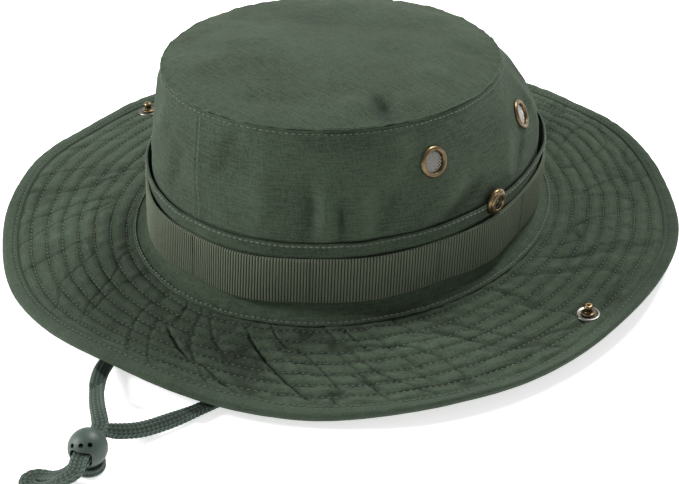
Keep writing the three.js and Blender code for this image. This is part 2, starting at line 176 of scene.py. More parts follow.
# ---------- meshes ----------
def clean(mesh, weld=0.0):
    """Turns all normals outwards, after joining points that are within weld metres of each other."""
    work = bmesh.new()
    work.from_mesh(mesh)
    if weld:
        bmesh.ops.remove_doubles(work, verts=work.verts, dist=weld)
    bmesh.ops.recalc_face_normals(work, faces=work.faces)
    work.to_mesh(mesh)
    work.free()


def new_object(name, points, faces, material, uv=None, tone=None, sharp=None):
    """A mesh object from points in millimetres. uv has two millimetre values for each corner of a face. tone
    has a number for each point, which lightens or darkens its cloth."""
    mesh = bpy.data.meshes.new(name)
    mesh.from_pydata((np.asarray(points) * MM).tolist(), [], faces)
    if uv is not None:
        layer = mesh.uv_layers.new(name="cloth")
        layer.data.foreach_set("uv", (np.asarray(uv) * MM).astype(np.float32).ravel())
    if tone is not None:
        attribute = mesh.attributes.new("tone", "FLOAT", "POINT")
        attribute.data.foreach_set("value", np.asarray(tone, np.float32).ravel())
    clean(mesh)
    mesh.shade_smooth()
    if sharp is not None:
        mesh.set_sharp_from_angle(angle=math.radians(sharp))
    mesh.materials.append(material)
    piece = linked(name, mesh)
    return piece


def stand_in(piece, body, *nodes):
    """Shows the piece in place of CAD nodes, riding on their body."""
    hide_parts(*nodes)
    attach(piece, body)


def ring_quads(rows, cols, closed=False):
    """Faces between rows of points, each a closed ring of cols; closed joins the last row to the first."""
    i, j = np.meshgrid(np.arange(rows if closed else rows - 1), np.arange(cols), indexing="ij")
    m, n = (i + 1) % rows, (j + 1) % cols
    return np.stack([i * cols + j, i * cols + n, m * cols + n, m * cols + j], 2).reshape(-1, 4).tolist()


def shell(name, outer, inner, material, closed=False, keep=None, tone=None, sharp=60):
    """A closed sheet between two grids of points, whose columns run round the head. keep marks the quads that
    stay, and tone lightens or darkens the outer side."""
    rows, cols = outer.shape[:2]
    quad_cols = cols if closed else cols - 1
    i, j = np.meshgrid(np.arange(rows - 1), np.arange(quad_cols), indexing="ij")
    if keep is not None:
        i, j = i[keep], j[keep]
    i, j = i.ravel(), j.ravel()
    n = (j + 1) % cols
    quads = np.stack([i * cols + j, i * cols + n, (i + 1) * cols + n, (i + 1) * cols + j], 1)
    edges = np.concatenate([quads[:, [k, (k + 1) % 4]] for k in range(4)])
    key = np.sort(edges, axis=1)
    code = key[:, 0].astype(np.int64) * rows * cols + key[:, 1]
    _, inverse, count = np.unique(code, return_inverse=True, return_counts=True)
    rim = edges[count[inverse.ravel()] == 1]
    under = rows * cols
    sides = np.stack([rim[:, 1], rim[:, 0], rim[:, 0] + under, rim[:, 1] + under], 1)
    faces = np.concatenate([quads, quads[:, ::-1] + under, sides])
    points = np.concatenate([outer.reshape(-1, 3), inner.reshape(-1, 3)])

    down = np.linalg.norm(np.diff(outer, axis=0), axis=2).mean(1)
    v_of = np.concatenate([[0], np.cumsum(down)])
    around = np.roll(outer, -1, axis=1) if closed else outer[:, 1:]
    here = outer if closed else outer[:, :-1]
    u_of = np.concatenate([[0], np.cumsum(np.linalg.norm(around - here, axis=2).mean(0))])
    corner_u = np.stack([u_of[j], u_of[j + 1], u_of[j + 1], u_of[j]], 1)
    corner_v = np.stack([v_of[i], v_of[i], v_of[i + 1], v_of[i + 1]], 1)
    flat = np.stack([corner_u, corner_v], 2)
    side_uv = np.stack([u_of[np.minimum(sides % under % cols, quad_cols)], v_of[sides % under // cols]], 2)
    uv = np.concatenate([flat, flat[:, ::-1], side_uv])

    used, packed = np.unique(faces, return_inverse=True)
    shade = None
    if tone is not None:
        shade = np.concatenate([np.broadcast_to(tone, (rows, cols)).ravel(), np.zeros(under)])[used]
    return new_object(name, points[used], packed.reshape(-1, 4).tolist(), material, uv, shade, sharp)


def normal_at(surface, t, v, step_t=0.004, step_v=0.4):
    """Outward normals of surface(t, v), whose v runs up or inwards."""
    along = surface(t + step_t, v) - surface(t - step_t, v)
    up = surface(t, v + step_v) - surface(t, v - step_v)
    n = np.cross(along, up)
    return n / np.linalg.norm(n, axis=-1, keepdims=True)


def tubes(name, paths, normals, radius, material, sides=6):
    """Round threads or wires. paths and normals are (tubes, points, 3). radius is one number, or one for each
    point of a path."""
    count, length = paths.shape[:2]
    along = np.gradient(paths, axis=1)
    along /= np.linalg.norm(along, axis=2, keepdims=True) + 1e-12
    across = np.cross(along, normals)
    across /= np.linalg.norm(across, axis=2, keepdims=True) + 1e-12
    up = np.cross(across, along)
    angle = np.arange(sides) * TURN / sides
    ring = (across[:, :, None] * np.cos(angle)[:, None] + up[:, :, None] * np.sin(angle)[:, None])
    points = paths[:, :, None] + ring * np.broadcast_to(radius, (length,))[None, :, None, None]
    base = (np.arange(count) * length * sides)[:, None, None]
    p = np.arange(length - 1)[None, :, None] * sides
    s = np.arange(sides)[None, None, :]
    n = (s + 1) % sides
    low, high = base + p, base + p + sides
    quads = np.stack(np.broadcast_arrays(low + s, low + n, high + n, high + s), 3).reshape(-1, 4).tolist()
    first = (base[:, 0] + np.arange(sides)[::-1]).tolist()
    last = (base[:, 0] + (length - 1) * sides + np.arange(sides)).tolist()
    return new_object(name, points.reshape(-1, 3), quads + first + last, material)


def stitches(lines, pitch=3.0, length=2.2, sink=0.28, lift=0.16):
    """Lockstitches along lines, each (points, normals). Returns the paths and normals of their threads."""
    paths, normals = [], []
    rise = np.array([-sink, lift * 0.7, lift, lift * 0.7, -sink])
    for points, normal in lines:
        reach = reach_of(points)
        count = max(1, int(reach[-1] / pitch))
        start = np.arange(count) * reach[-1] / count + 0.3
        at = start[:, None] + np.linspace(0, length, len(rise))[None, :]
        spot = np.stack([np.interp(at, reach, points[:, k]) for k in range(3)], 2)
        face = np.stack([np.interp(at, reach, normal[:, k]) for k in range(3)], 2)
        paths.append(spot + face * rise[None, :, None])
        normals.append(face)
    return np.concatenate(paths), np.concatenate(normals)


def sew(name, lines, radius=THREAD, **how):
    """Stitches of thread that is thinner where it goes into the cloth."""
    paths, normals = stitches(lines, **how)
    thick = np.array([0.4, 1, 1.1, 1, 0.4]) * radius
    return tubes(name, paths, normals, thick, STITCH, sides=5)


def turned(name, profile, material, segments=64, sharp=35, ripple=None):
    """A turned piece round +Z from a closed profile of (radius, height). ripple(angle, k) scales the radius
    at point k of the profile."""
    ring = np.array(profile, float)
    angle = np.arange(segments) * TURN / segments
    scale = np.ones((len(ring), segments))
    if ripple is not None:
        scale = ripple(angle[None, :], np.arange(len(ring))[:, None])
    radius = ring[:, :1] * scale
    points = np.stack(np.broadcast_arrays(radius * np.cos(angle), radius * np.sin(angle), ring[:, 1:]), 2)
    quads = ring_quads(len(ring), segments, closed=True)
    piece = new_object(name, points.reshape(-1, 3), quads, material, sharp=sharp)
    clean(piece.data, 1e-7)
    return piece


def rounded(profile, times=2, share=0.22):
    """The closed profile with its corners cut back, so that no edge is razor sharp."""
    points = np.array(profile, float)
    for _ in range(times):
        ahead = np.roll(points, -1, axis=0)
        points = np.stack([mix(points, ahead, share), mix(points, ahead, 1 - share)], 1).reshape(-1, 2)
        share = 0.25
    return points


def seat(piece, at, normal, turn=0.0):
    """Puts a piece made round +Z on a point in millimetres, with +Z along the normal."""
    facing = Vector((0, 0, 1)).rotation_difference(Vector(normal)).to_matrix().to_4x4()
    piece.data.transform(Matrix.Translation(Vector(at) * MM) @ facing @ Matrix.Rotation(turn, 4, "Z"))
    return piece


# ---------- materials ----------
class Nodes:
    """A material's node tree, with a short way to add a node and to wire it."""

    def __init__(self, name, roughness, metallic=0.0, **sockets):
        self.material = bpy.data.materials.new(name)
        self.material.use_nodes = True
        self.tree = self.material.node_tree
        self.shader = self.tree.nodes["Principled BSDF"]
        for key, value in {"Roughness": roughness, "Metallic": metallic, **sockets}.items():
            self.shader.inputs[key].default_value = value

    def add(self, kind, inputs=None, **settings):
        node = self.tree.nodes.new("ShaderNode" + kind)
        for key, value in settings.items():
            setattr(node, key, value)
        self.feed(node, inputs or {})
        return node

    def feed(self, node, inputs):
        """Sets the node's inputs to values, or wires them to other nodes' sockets."""
        for key, value in inputs.items():
            if isinstance(value, bpy.types.NodeSocket):
                self.tree.links.new(value, node.inputs[key])
            else:
                node.inputs[key].default_value = value

    def math(self, operation, a, b=0.0, c=0.0):
        return self.add("Math", {0: a, 1: b, 2: c}, operation=operation).outputs[0]

    def link(self, socket, name):
        self.tree.links.new(socket, self.shader.inputs[name])

    def mix_colour(self, factor, a, b):
        node = self.add("Mix", data_type="RGBA", clamp_factor=True)
        self.feed(node, {0: factor, 6: a, 7: b})
        return node.outputs[2]

    def ramp(self, value, low, high, to_low=0.0, to_high=1.0):
        limits = {"From Min": low, "From Max": high, "To Min": to_low, "To Max": to_high}
        return self.add("MapRange", {"Value": value, **limits}, interpolation_type="SMOOTHSTEP").outputs[0]

    def bump(self, height, strength, distance):
        return self.add("Bump", {"Height": height, "Strength": strength, "Distance": distance}).outputs[0]

    def noise(self, place, scale, detail=2.0, roughness=0.5):
        inputs = {"Vector": place, "Scale": scale, "Detail": detail, "Roughness": roughness}
        return self.add("TexNoise", inputs).outputs["Fac"]

    def vary(self, level, texture, amount):
        """The level, moved up and down by a texture that lies round one half."""
        return self.math("MULTIPLY_ADD", self.math("SUBTRACT", texture, 0.5), amount, level)


def tint(colour, share):
    """A colour made lighter or darker, with its alpha."""
    return (colour[0] * share, colour[1] * share, colour[2] * share, 1)


CLOTH_THREADS, GRID_LINES = 1400.0, 190.0   # to the metre


def woven(name, colour, ripstop=0.35, speckle=0.6, slub=0.55):
    """Cotton ripstop: a fine weave, a faint square grid, slubs both ways, specks and large soft patches."""
    n = Nodes(name, 0.95, **{"Sheen Weight": 0.03, "Sheen Roughness": 0.6, "Specular IOR Level": 0.12})
    cloth = n.add("UVMap", uv_map="cloth").outputs[0]
    place = n.add("TexCoord").outputs["Object"]
    split = n.add("SeparateXYZ", {0: cloth})
    u, v = split.outputs[0], split.outputs[1]

    def threads(axis, per_metre):
        return n.math("SINE", n.math("MULTIPLY", axis, per_metre * TURN))

    def grid_line(axis):
        return n.ramp(threads(axis, GRID_LINES), 0.9, 1.0)

    def streaked(along, across):
        stretched = n.add("Mapping", {0: cloth, 3: (along, across, 1.0)}).outputs[0]
        return n.noise(stretched, 1.0, 3.0, 0.6)

    weave = n.math("MULTIPLY", threads(u, CLOTH_THREADS), threads(v, CLOTH_THREADS))
    grid = n.math("MAXIMUM", grid_line(u), grid_line(v))
    slubs = streaked(140.0, 1500.0)
    streaks = streaked(1700.0, 210.0)
    specks = n.noise(place, 1150.0, 3.0, 0.75)
    patches = n.noise(place, 28.0, 3.0, 0.55)

    level = n.vary(0.5, slubs, slub * 2.2)
    level = n.vary(level, streaks, slub * 1.2)
    level = n.vary(level, specks, speckle * 2.4)
    level = n.vary(level, patches, 0.55)
    level = n.math("MULTIPLY_ADD", grid, ripstop * 0.3, level)
    # The tone attribute adds random unevenness, and painted light and shade: lighter on ridges and rolls,
    # darker in creases, dents and stitch grooves.
    tone = n.add("Attribute", attribute_name="tone").outputs["Fac"]
    level = n.math("ADD", level, tone)
    n.link(n.mix_colour(level, tint(colour, 0.45), tint(colour, 1.62)), "Base Color")
    height = n.math("MULTIPLY_ADD", weave, 0.5, n.math("MULTIPLY", grid, ripstop))
    height = n.math("MULTIPLY_ADD", slubs, 0.9, height)
    height = n.math("MULTIPLY_ADD", specks, 0.8, height)
    n.link(n.bump(height, 0.6, 0.0002), "Normal")
    return n.material


def thread_material(name, colour):
    """Spun sewing thread."""
    n = Nodes(name, 0.8, **{"Sheen Weight": 0.1})
    place = n.add("TexCoord").outputs["Object"]
    fibre = n.noise(place, 5200.0, 2.0, 0.7)
    patch = n.noise(place, 300.0)
    level = n.vary(patch, fibre, 0.9)
    n.link(n.mix_colour(level, tint(colour, 0.7), tint(colour, 1.3)), "Base Color")
    n.link(n.bump(fibre, 0.4, 0.0001), "Normal")
    return n.material


def webbing_material(name, colour, bead=0.0):
    """Woven tape: fibres, patches, beads of weft, so many to the metre up it, and the tone of its ribs, which
    is painted light on their crests and painted shade between them.
    """
    n = Nodes(name, 0.85, **{"Sheen Weight": 0.03, "Specular IOR Level": 0.2})
    place = n.add("TexCoord").outputs["Object"]
    fibre = n.noise(place, 2600.0, 2.0, 0.7)
    patches = n.noise(place, 45.0, 3.0)
    tone = n.add("Attribute", attribute_name="tone").outputs["Fac"]
    height = n.add("SeparateXYZ", {0: place}).outputs[2]
    beads = n.math("SINE", n.math("MULTIPLY", height, bead * TURN))
    level = n.vary(0.5, fibre, 1.1)
    level = n.vary(level, patches, 0.6)
    level = n.math("MULTIPLY_ADD", beads, 0.16, level)
    # tone is painted light on the crests of ribs or strands and painted shade between them.
    n.link(n.mix_colour(n.math("ADD", level, tone), tint(colour, 0.35), tint(colour, 1.75)), "Base Color")
    n.link(n.bump(n.math("MULTIPLY_ADD", beads, 0.8, fibre), 0.6, 0.00016), "Normal")
    return n.material


def metal(name, colour, worn, roughness, dirt):
    """Plated metal whose edges and high spots are worn brighter, with tarnish in patches."""
    n = Nodes(name, roughness, 1.0)
    place = n.add("TexCoord").outputs["Object"]
    patch = n.noise(place, 420.0, 4.0, 0.6)
    fine = n.noise(place, 3200.0, 3.0, 0.6)
    point = n.ramp(n.add("NewGeometry").outputs["Pointiness"], 0.49, 0.56)
    base = n.mix_colour(n.ramp(patch, 0.42, 0.62), tint(colour, 1.0), tint(dirt, 1.0))
    rub = n.math("MULTIPLY", point, n.ramp(fine, 0.25, 0.6))
    n.link(n.mix_colour(rub, base, tint(worn, 1.0)), "Base Color")
    n.link(n.ramp(patch, 0.35, 0.7, roughness * 0.8, roughness * 1.5), "Roughness")
    n.link(n.bump(n.math("ADD", fine, patch), 0.25, 0.00008), "Normal")
    return n.material


def plastic(name, colour):
    """Moulded plastic with a fine spark-eroded texture."""
    n = Nodes(name, 0.5, **{"Specular IOR Level": 0.45})
    place = n.add("TexCoord").outputs["Object"]
    grain = n.noise(place, 2600.0, 2.0, 0.6)
    patch = n.noise(place, 90.0, 2.0)
    level = n.vary(patch, grain, 0.6)
    n.link(n.mix_colour(level, tint(colour, 0.8), tint(colour, 1.2)), "Base Color")
    n.link(n.ramp(grain, 0.3, 0.7, 0.42, 0.6), "Roughness")
    n.link(n.bump(grain, 0.3, 0.00008), "Normal")
    return n.material


RIPSTOP = woven("ripstop", (0.037, 0.053, 0.034))
LINING = woven("lining", (0.030, 0.041, 0.027), ripstop=0.1, speckle=0.3)
HEM_CLOTH = woven("hem_cloth", (0.038, 0.054, 0.036), ripstop=0.0, slub=0.2)
STITCH = thread_material("thread", (0.092, 0.115, 0.086))
TACK = thread_material("tack_thread", (0.013, 0.017, 0.011))
WEB = webbing_material("webbing", (0.062, 0.074, 0.05), bead=1330.0)
BRAID = webbing_material("braid", (0.056, 0.08, 0.064))
BRASS = metal("antique_brass", (0.105, 0.074, 0.038), (0.40, 0.29, 0.16), 0.36, (0.042, 0.031, 0.02))
PEWTER = metal("pewter", (0.13, 0.125, 0.11), (0.36, 0.35, 0.31), 0.4, (0.07, 0.066, 0.058))
STEEL = metal("spring_steel", (0.2, 0.2, 0.19), (0.42, 0.42, 0.41), 0.32, (0.12, 0.12, 0.11))
SCREEN = metal("vent_mesh", (0.42, 0.41, 0.385), (0.75, 0.73, 0.68), 0.42, (0.28, 0.27, 0.24))
LOCK = plastic("lock_plastic", (0.036, 0.057, 0.045))

# ---------- cord lock, round +Z with z = 0 on the table ----------
LOCK_AT = np.array([48.7, -213.5, 0.0])
LOCK_FACING = math.atan2(-0.911, 0.413) + math.pi / 2   # turns its slot to the way the cord goes
LOCK_BALL, LOCK_BALL_Z, BALL_CUT = 7.9, 10.4, 6.2       # the ball's radius, middle and open bottom
BORE_SHOULDER, BORE_END = (5.25, 15.2), (3.9, 16.6)     # radius and height
SLOT_HALF, SLOT_LOW, SLOT_HIGH = 3.8, 7.5, 13.0
SLOT_ROUND, SLOT_LONG = 1.6, 20.0                       # corner radius, and length past the ball's middle
MOUTH_NEAR, MOUTH_FAR, MOUTH_WIDER, MOUTH_TALLER = 3.0, 12.0, 1.55, 1.5
BUTTON_TRAVEL, BUTTON_SLOT_ROUND = 2.2, 1.4
BUTTON_STEM, BUTTON_BASE, BUTTON_TOP, BUTTON_RIDGES = 4.9, 6.75, 14.0, 34
COIL_RADIUS, COIL_Z, COIL_WIRE = 2.8, 16.4, 0.14
AXIS = 0.001                                            # a radius whose ring welds to one point
DIMPLES = [(-101.5, 32.0), (-67.0, 43.5), (-29.5, 46.0)]    # small holes: bearing and height in degrees


def box_work(low, high):
    """A box between two corners, ready for bmesh operations."""
    work = bmesh.new()
    bmesh.ops.create_cube(work, size=1.0)
    low, high = Vector(low) * MM, Vector(high) * MM
    for vert in work.verts:
        vert.co = Vector(((c + 0.5) * (b - a) + a for c, a, b in zip(vert.co, low, high)))
    return work


def slot_cutter(near, far, low=SLOT_LOW, corner=SLOT_ROUND):
    """A cutter for the cord's slot, along Y from near to far, whose four long edges are rounded."""
    work = box_work((-SLOT_HALF, near, low), (SLOT_HALF, far, SLOT_HIGH))
    long_edges = [e for e in work.edges if abs((e.verts[0].co - e.verts[1].co).y) > (far - near) / 2 * MM]
    bmesh.ops.bevel(work, geom=long_edges, offset=corner * MM, segments=6, affect="EDGES", profile=0.5)
    return work


def mouth(near, far):
    """A cutter for one end of the slot through the ball, from y near to y far, opening outwards."""
    work = slot_cutter(near, far)
    middle = (SLOT_LOW + SLOT_HIGH) / 2 * MM
    for vert in work.verts:
        if abs(vert.co.y) > (MOUTH_FAR - 2) * MM:
            vert.co.x *= MOUTH_WIDER
            vert.co.z = middle + (vert.co.z - middle) * MOUTH_TALLER
    return work


def cut_away(piece, cutters):
    """Subtracts each cutter from the piece, for good."""
    for work in cutters:
        mesh = bpy.data.meshes.new("cutter")
        work.to_mesh(mesh)
        work.free()
        tool = linked("cutter", mesh)
        modifier = piece.modifiers.new("cut", "BOOLEAN")
        modifier.operation, modifier.object, modifier.solver = "DIFFERENCE", tool, "EXACT"
        graph = bpy.context.evaluated_depsgraph_get()
        result = bpy.data.meshes.new_from_object(piece.evaluated_get(graph))
        piece.modifiers.clear()
        piece.data = result
        bpy.data.objects.remove(tool)
    piece.data.shade_smooth()
    piece.data.set_sharp_from_angle(angle=math.radians(30))


def dimple(bearing, height, radius=0.95, depth=2.2):
    """A short round drill in the ball, towards its middle."""
    work = bmesh.new()
    wide, deep = radius * MM, 2 * depth * MM
    bmesh.ops.create_cone(work, cap_ends=True, segments=28, radius1=wide, radius2=wide, depth=deep)
    b, h = math.radians(bearing) - LOCK_FACING, math.radians(height)
    way = Vector((math.cos(h) * math.cos(b), math.cos(h) * math.sin(b), math.sin(h)))
    turn = way.to_track_quat("Z", "Y").to_matrix().to_4x4()
    at = Vector((0, 0, LOCK_BALL_Z * MM)) + way * LOCK_BALL * MM
    bmesh.ops.transform(work, matrix=Matrix.Translation(at) @ turn, verts=work.verts)
    return work


def lock_ball():
    """The ball: hollow for the button from below, with the cord's slot through it and small holes on top."""
    start = math.asin((BALL_CUT - LOCK_BALL_Z) / LOCK_BALL)
    dome = [(LOCK_BALL * math.cos(a), LOCK_BALL_Z + LOCK_BALL * math.sin(a))
            for a in np.linspace(start, math.pi / 2 - 0.001, 34)]
    shoulder = BORE_SHOULDER[0]
    profile = [(shoulder, BALL_CUT + 0.3), (shoulder + 0.3, BALL_CUT), *dome,
               (AXIS, BORE_END[1]), BORE_END, BORE_SHOULDER]
    ball = turned("cord_lock_ball", profile, LOCK, segments=96)
    slot = slot_cutter(-SLOT_LONG, SLOT_LONG)
    mouths = [mouth(MOUTH_NEAR, MOUTH_FAR), mouth(-MOUTH_FAR, -MOUTH_NEAR)]
    cut_away(ball, [slot, *mouths, *(dimple(*angles) for angles in DIMPLES)])
    return ball


def lock_button():
    """The push button: a ribbed base with a groove round it, and a stem with the cord's slot through it."""
    stem, base, top = BUTTON_STEM, BUTTON_BASE, BUTTON_TOP
    rim = [(base - 0.55, 0.3), (base - 0.15, 0.5), (base, 0.9), (base, 1.5), (base - 0.35, 1.75),
           (base - 0.35, 2.0), (base, 2.25), (base, 3.1), (base - 0.2, 3.5), (base - 0.6, 3.7)]
    profile = [(AXIS, 0.3), *rim, (stem, 3.7), (stem, top - 1), (stem - 1.3, top), (AXIS, top)]
    grip = range(2, 10)
    segments = 8 * BUTTON_RIDGES

    def ridges(angle, k):
        return 1 - 0.05 * np.isin(k, grip) * (0.5 + 0.5 * np.cos(BUTTON_RIDGES * angle)) ** 0.5

    button = turned("cord_lock_plunger", profile, LOCK, segments=segments, ripple=ridges)
    low = SLOT_LOW - BUTTON_TRAVEL - 0.1
    cut_away(button, [slot_cutter(-SLOT_LONG, SLOT_LONG, low, BUTTON_SLOT_ROUND)])
    return button


def lock_spring():
    """One turn of spring wire above the button."""
    coil = oval(np.linspace(0, TURN * 0.97, 60), COIL_RADIUS, COIL_RADIUS, COIL_Z)
    up = np.broadcast_to([0.0, 0.0, 1.0], coil.shape)
    return tubes("cord_lock_coil", coil[None], up[None], COIL_WIRE, STEEL, sides=8)


def add_lock():
    facing = Matrix.Translation(Vector(LOCK_AT) * MM) @ Matrix.Rotation(LOCK_FACING, 4, "Z")
    for piece, body, node in ((lock_ball(), "cord_lock", "cord_lock_body"),
                              (lock_button(), "lock_button", "cord_lock_button"),
                              (lock_spring(), "cord_lock", "cord_lock_spring")):
        piece.data.transform(facing)
        stand_in(piece, body, node)


add_lock()


# ---------- chin cord ----------
CORD_WIDE, CORD_THICK, CORD_STEP = 6.8, 2.2, 0.36
COLUMN, COLUMNS, STRAND = 1.7, 4, 2.0               # the braid's columns, and a strand's length along them
LEAN_FRONT, LEAN_BACK = (-203, -196), (-178, -160)  # where on Y the cord starts and stops leaning
BRAID_POINTS, EASE = 36, 9                          # points round the braid, and points a corner is eased over
CORD_ROUTE = [
    (78.2, 0, 9.5), (72.5, -1, 8.8), (66, -4, 4.6), (60, -10, 1.5), (57, -24, 1.4), (60, -40, 1.4),
    (56, -55, 1.4), (40, -60, 1.4), (22, -54, 1.4), (8, -62, 1.4), (10, -78, 1.4), (26, -86, 1.4),
    (42, -92, 1.4), (54, -106, 1.4), (58.5, -128, 1.4), (57.8, -148, 1.6), (56, -162, 2.2), (53.4, -176, 3.2),
    (50.5, -187.5, 4.6), (47.2, -195.6, 6.8), (44.8, -200.2, 8.4), (44.3, -203.9, 9), (48.7, -213.5, 9),
    (52.5, -221.9, 8.8), (51.7, -226, 7.9), (48.6, -228.3, 5.8), (44.8, -229.2, 3.4), (41.4, -229.7, 1.7),
    (38.9, -230.8, 1.4), (37.6, -232.9, 1.4), (37.9, -235.3, 1.4), (39.8, -237, 1.4), (42.4, -237.4, 1.6),
    (46.6, -236.8, 3.3), (51.4, -235.4, 6.8), (55.4, -232.2, 9.9), (56.8, -227.6, 11.2), (53.2, -222.4, 11.5),
    (48.7, -213.5, 11.5), (43.7, -202.6, 11.5), (38, -198, 11.2), (30.3, -192.2, 9.8), (21, -184, 7.8),
    (12, -173.8, 5.4), (4.6, -161.5, 2.8), (-1.5, -146, 1.5), (-5, -126, 1.4), (-8, -106, 1.4),
    (-18, -88, 1.4), (-36, -80, 1.4), (-44, -66, 1.4), (-32, -54, 1.4), (-16, -46, 1.4), (-14, -30, 1.4),
    (-28, -22, 1.4), (-44, -26, 1.4), (-57, -18, 1.6), (-66, -6, 4.6), (-72.5, -1, 8.8), (-78.2, 0, 9.5),
]


def smooth_route(points, per_span=12):
    """A centripetal Catmull-Rom curve through the points."""
    p = np.array(points, float)
    p = np.concatenate([[2 * p[0] - p[1]], p, [2 * p[-1] - p[-2]]])
    knot = np.concatenate([[0], np.cumsum(np.linalg.norm(np.diff(p, axis=0), axis=1) ** 0.5)])
    out = []
    for k in range(1, len(p) - 2):
        last = k == len(p) - 3
        u = np.linspace(knot[k], knot[k + 1], per_span + last, endpoint=bool(last))[:, None]
        a = [mix(p[i], p[i + 1], (u - knot[i]) / (knot[i + 1] - knot[i])) for i in (k - 1, k, k + 1)]
        spans = [(u - knot[i]) / (knot[i + 2] - knot[i]) for i in (k - 1, k)]
        b = [mix(a[0], a[1], spans[0]), mix(a[1], a[2], spans[1])]
        out.append(mix(b[0], b[1], (u - knot[k]) / (knot[k + 1] - knot[k])))
    return np.concatenate(out)


def even_route(line, steps):
    """The line with evenly spaced points, and how far along it each of them is."""
    reach = reach_of(line)
    at = np.linspace(0, reach[-1], steps)
    return np.stack([np.interp(at, reach, line[:, k]) for k in range(line.shape[1])], 1), at


def cord_line():
    """The middle of the cord, its corners eased, and how far along it each point is."""
    route = smooth_route(CORD_ROUTE)
    line, at = even_route(route, int(reach_of(route)[-1] / CORD_STEP) + 1)
    padded = np.concatenate([2 * line[0] - line[4:0:-1], line, 2 * line[-1] - line[-2:-6:-1]])
    return np.stack([np.convolve(padded[:, k], np.ones(EASE) / EASE, "valid") for k in range(3)], 1), at


def cord_directions(line):
    """Directions of the braid's width and thickness. Between brim and lock it leans outwards a little."""
    ahead = np.gradient(line, axis=0)
    ahead /= np.linalg.norm(ahead, axis=1, keepdims=True)
    across = np.stack([ahead[:, 1], -ahead[:, 0], np.zeros(len(ahead))], 1)
    across /= np.linalg.norm(across, axis=1, keepdims=True)
    up = np.cross(across, ahead)
    y = line[:, 1]
    lean = 0.5 * smooth(y, *LEAN_FRONT) * (1 - smooth(y, *LEAN_BACK)) * np.sign(across[:, 0] - across[:, 1])
    turn, tilt = np.cos(lean)[:, None], np.sin(lean)[:, None]
    return turn * across - tilt * up, turn * up + tilt * across


def braid_section(at):
    """Points of the braid's section at each place along it, and their tone: columns of slanting strands, with
    grooves between the columns and rounded edges. The tone is painted light on the strands and painted shade
    in the grooves."""
    angle = np.arange(BRAID_POINTS) * TURN / BRAID_POINTS
    wide = np.sign(np.cos(angle)) * np.abs(np.cos(angle)) ** 0.62
    tall = np.sign(np.sin(angle)) * np.abs(np.sin(angle)) ** 0.55
    x = wide * CORD_WIDE / 2
    column = np.floor((x + CORD_WIDE / 2) / COLUMN).clip(0, COLUMNS - 1)
    slant = np.where(column % 2 == 0, 1, -1)
    strand = np.abs(np.sin(np.pi * (at[:, None] / STRAND + slant * x / COLUMN)))
    between = np.mod(x + COLUMN / 2, COLUMN) - COLUMN / 2
    groove = bump(between, 0, 0.22) * (np.abs(x) < CORD_WIDE / 2 - 0.5)
    relief = 0.32 * strand ** 0.7 - 0.3 * groove - 0.24
    outwards = np.stack([wide * 0.6, tall], 1)
    outwards /= np.linalg.norm(outwards, axis=1, keepdims=True)
    body = np.stack([x, tall * CORD_THICK / 2], 1)
    # The tone is painted light on the strands' crests and painted shade in their dips and in the grooves.
    return body[None] + outwards[None] * relief[..., None], (strand - 0.72) * 0.7 - 0.55 * groove


def add_cord():
    line, at = cord_line()
    across, up = cord_directions(line)
    flat, tone = braid_section(at)
    points = line[:, None] + across[:, None] * flat[..., :1] + up[:, None] * flat[..., 1:]
    rows, cols = points.shape[:2]
    ends = [list(range(cols))[::-1], list(range((rows - 1) * cols, rows * cols))]
    faces = ring_quads(rows, cols) + ends
    cord = new_object("chin_cord_braid", points.reshape(-1, 3), faces, BRAID, tone=tone)
    stand_in(cord, "root", "chin_cord")


add_cord()


# ---------- the shape of the cloth ----------
def outward(t):
    """Level normal of the crown's oval."""
    n = oval(t, 1 / CROWN_A, 1 / CROWN_B, 0.0)
    return n / np.linalg.norm(n, axis=-1, keepdims=True)


def tip_seam(t):
    """Height of the seam round the tip."""
    return TIP_Z - TIP_SLOPE * np.sin(t)


def wall_share(t, z):
    """How far up the free wall, between the band's top and the tip seam, z is."""
    return np.clip((z - BAND_TOP) / (tip_seam(t) - BAND_TOP), 0, 1)


def wall_base(t, z, out=0.0):
    """The crown wall without folds, out millimetres outside of it."""
    rise = wall_share(t, z) ** SHOULDER
    return oval(t, mix(CROWN_A, TIP_A, rise) + out, mix(CROWN_B, TIP_B, rise) + out, z, TIP_LEAN * rise)


def wall_spot(y, z, side):
    """Where the wall at height z reaches y, on side +1, the left, or -1, and the wall's normal there."""
    t = 0.0
    for _ in range(20):
        t += (y - wall_base(t, z)[1]) / CROWN_B
    along = wall_base(t + 0.02, z) - wall_base(t - 0.02, z)
    up = wall_base(t, z + 1) - wall_base(t, z - 1)
    normal = np.cross(along, up)
    mirror = np.array([side, 1, 1])
    return wall_base(t, z) * mirror, normal / np.linalg.norm(normal) * mirror


SIDES = {"left": 1, "right": -1}
VENT_SPOTS = {(side, end): wall_spot(y, tip_seam(math.asin((y - TIP_LEAN) / TIP_B)) - VENT_DROP, sign)
              for side, sign in SIDES.items() for end, y in VENTS.items()}
SNAP_SPOTS = {side: (np.array([sign * CROWN_A, 0, BAND_TOP]), np.array([sign, 0.0, 0.0]))
              for side, sign in SIDES.items()}


def calm(points, low=6.5, high=17.0):
    """0 under a vent or a snap, where the cloth lies flat, and 1 away from it."""
    spots = [at for at, _ in (*VENT_SPOTS.values(), *SNAP_SPOTS.values())]
    return smooth(np.min([np.linalg.norm(points - at, axis=-1) for at in spots], axis=0), low, high)


def crease(x, y, start, end, width, depth):
    """A soft ridge or, where depth is below 0, a valley along a straight line, fading at both ends."""
    (x0, y0), (x1, y1) = start, end
    length = math.hypot(x1 - x0, y1 - y0)
    ax, ay = (x1 - x0) / length, (y1 - y0) / length
    along = ((x - x0) * ax + (y - y0) * ay) / length
    off = (x - x0) * ay - (y - y0) * ax
    return depth * bump(off, 0, width) * smooth(along, -0.25, 0.3) * (1 - smooth(along, 0.7, 1.25))


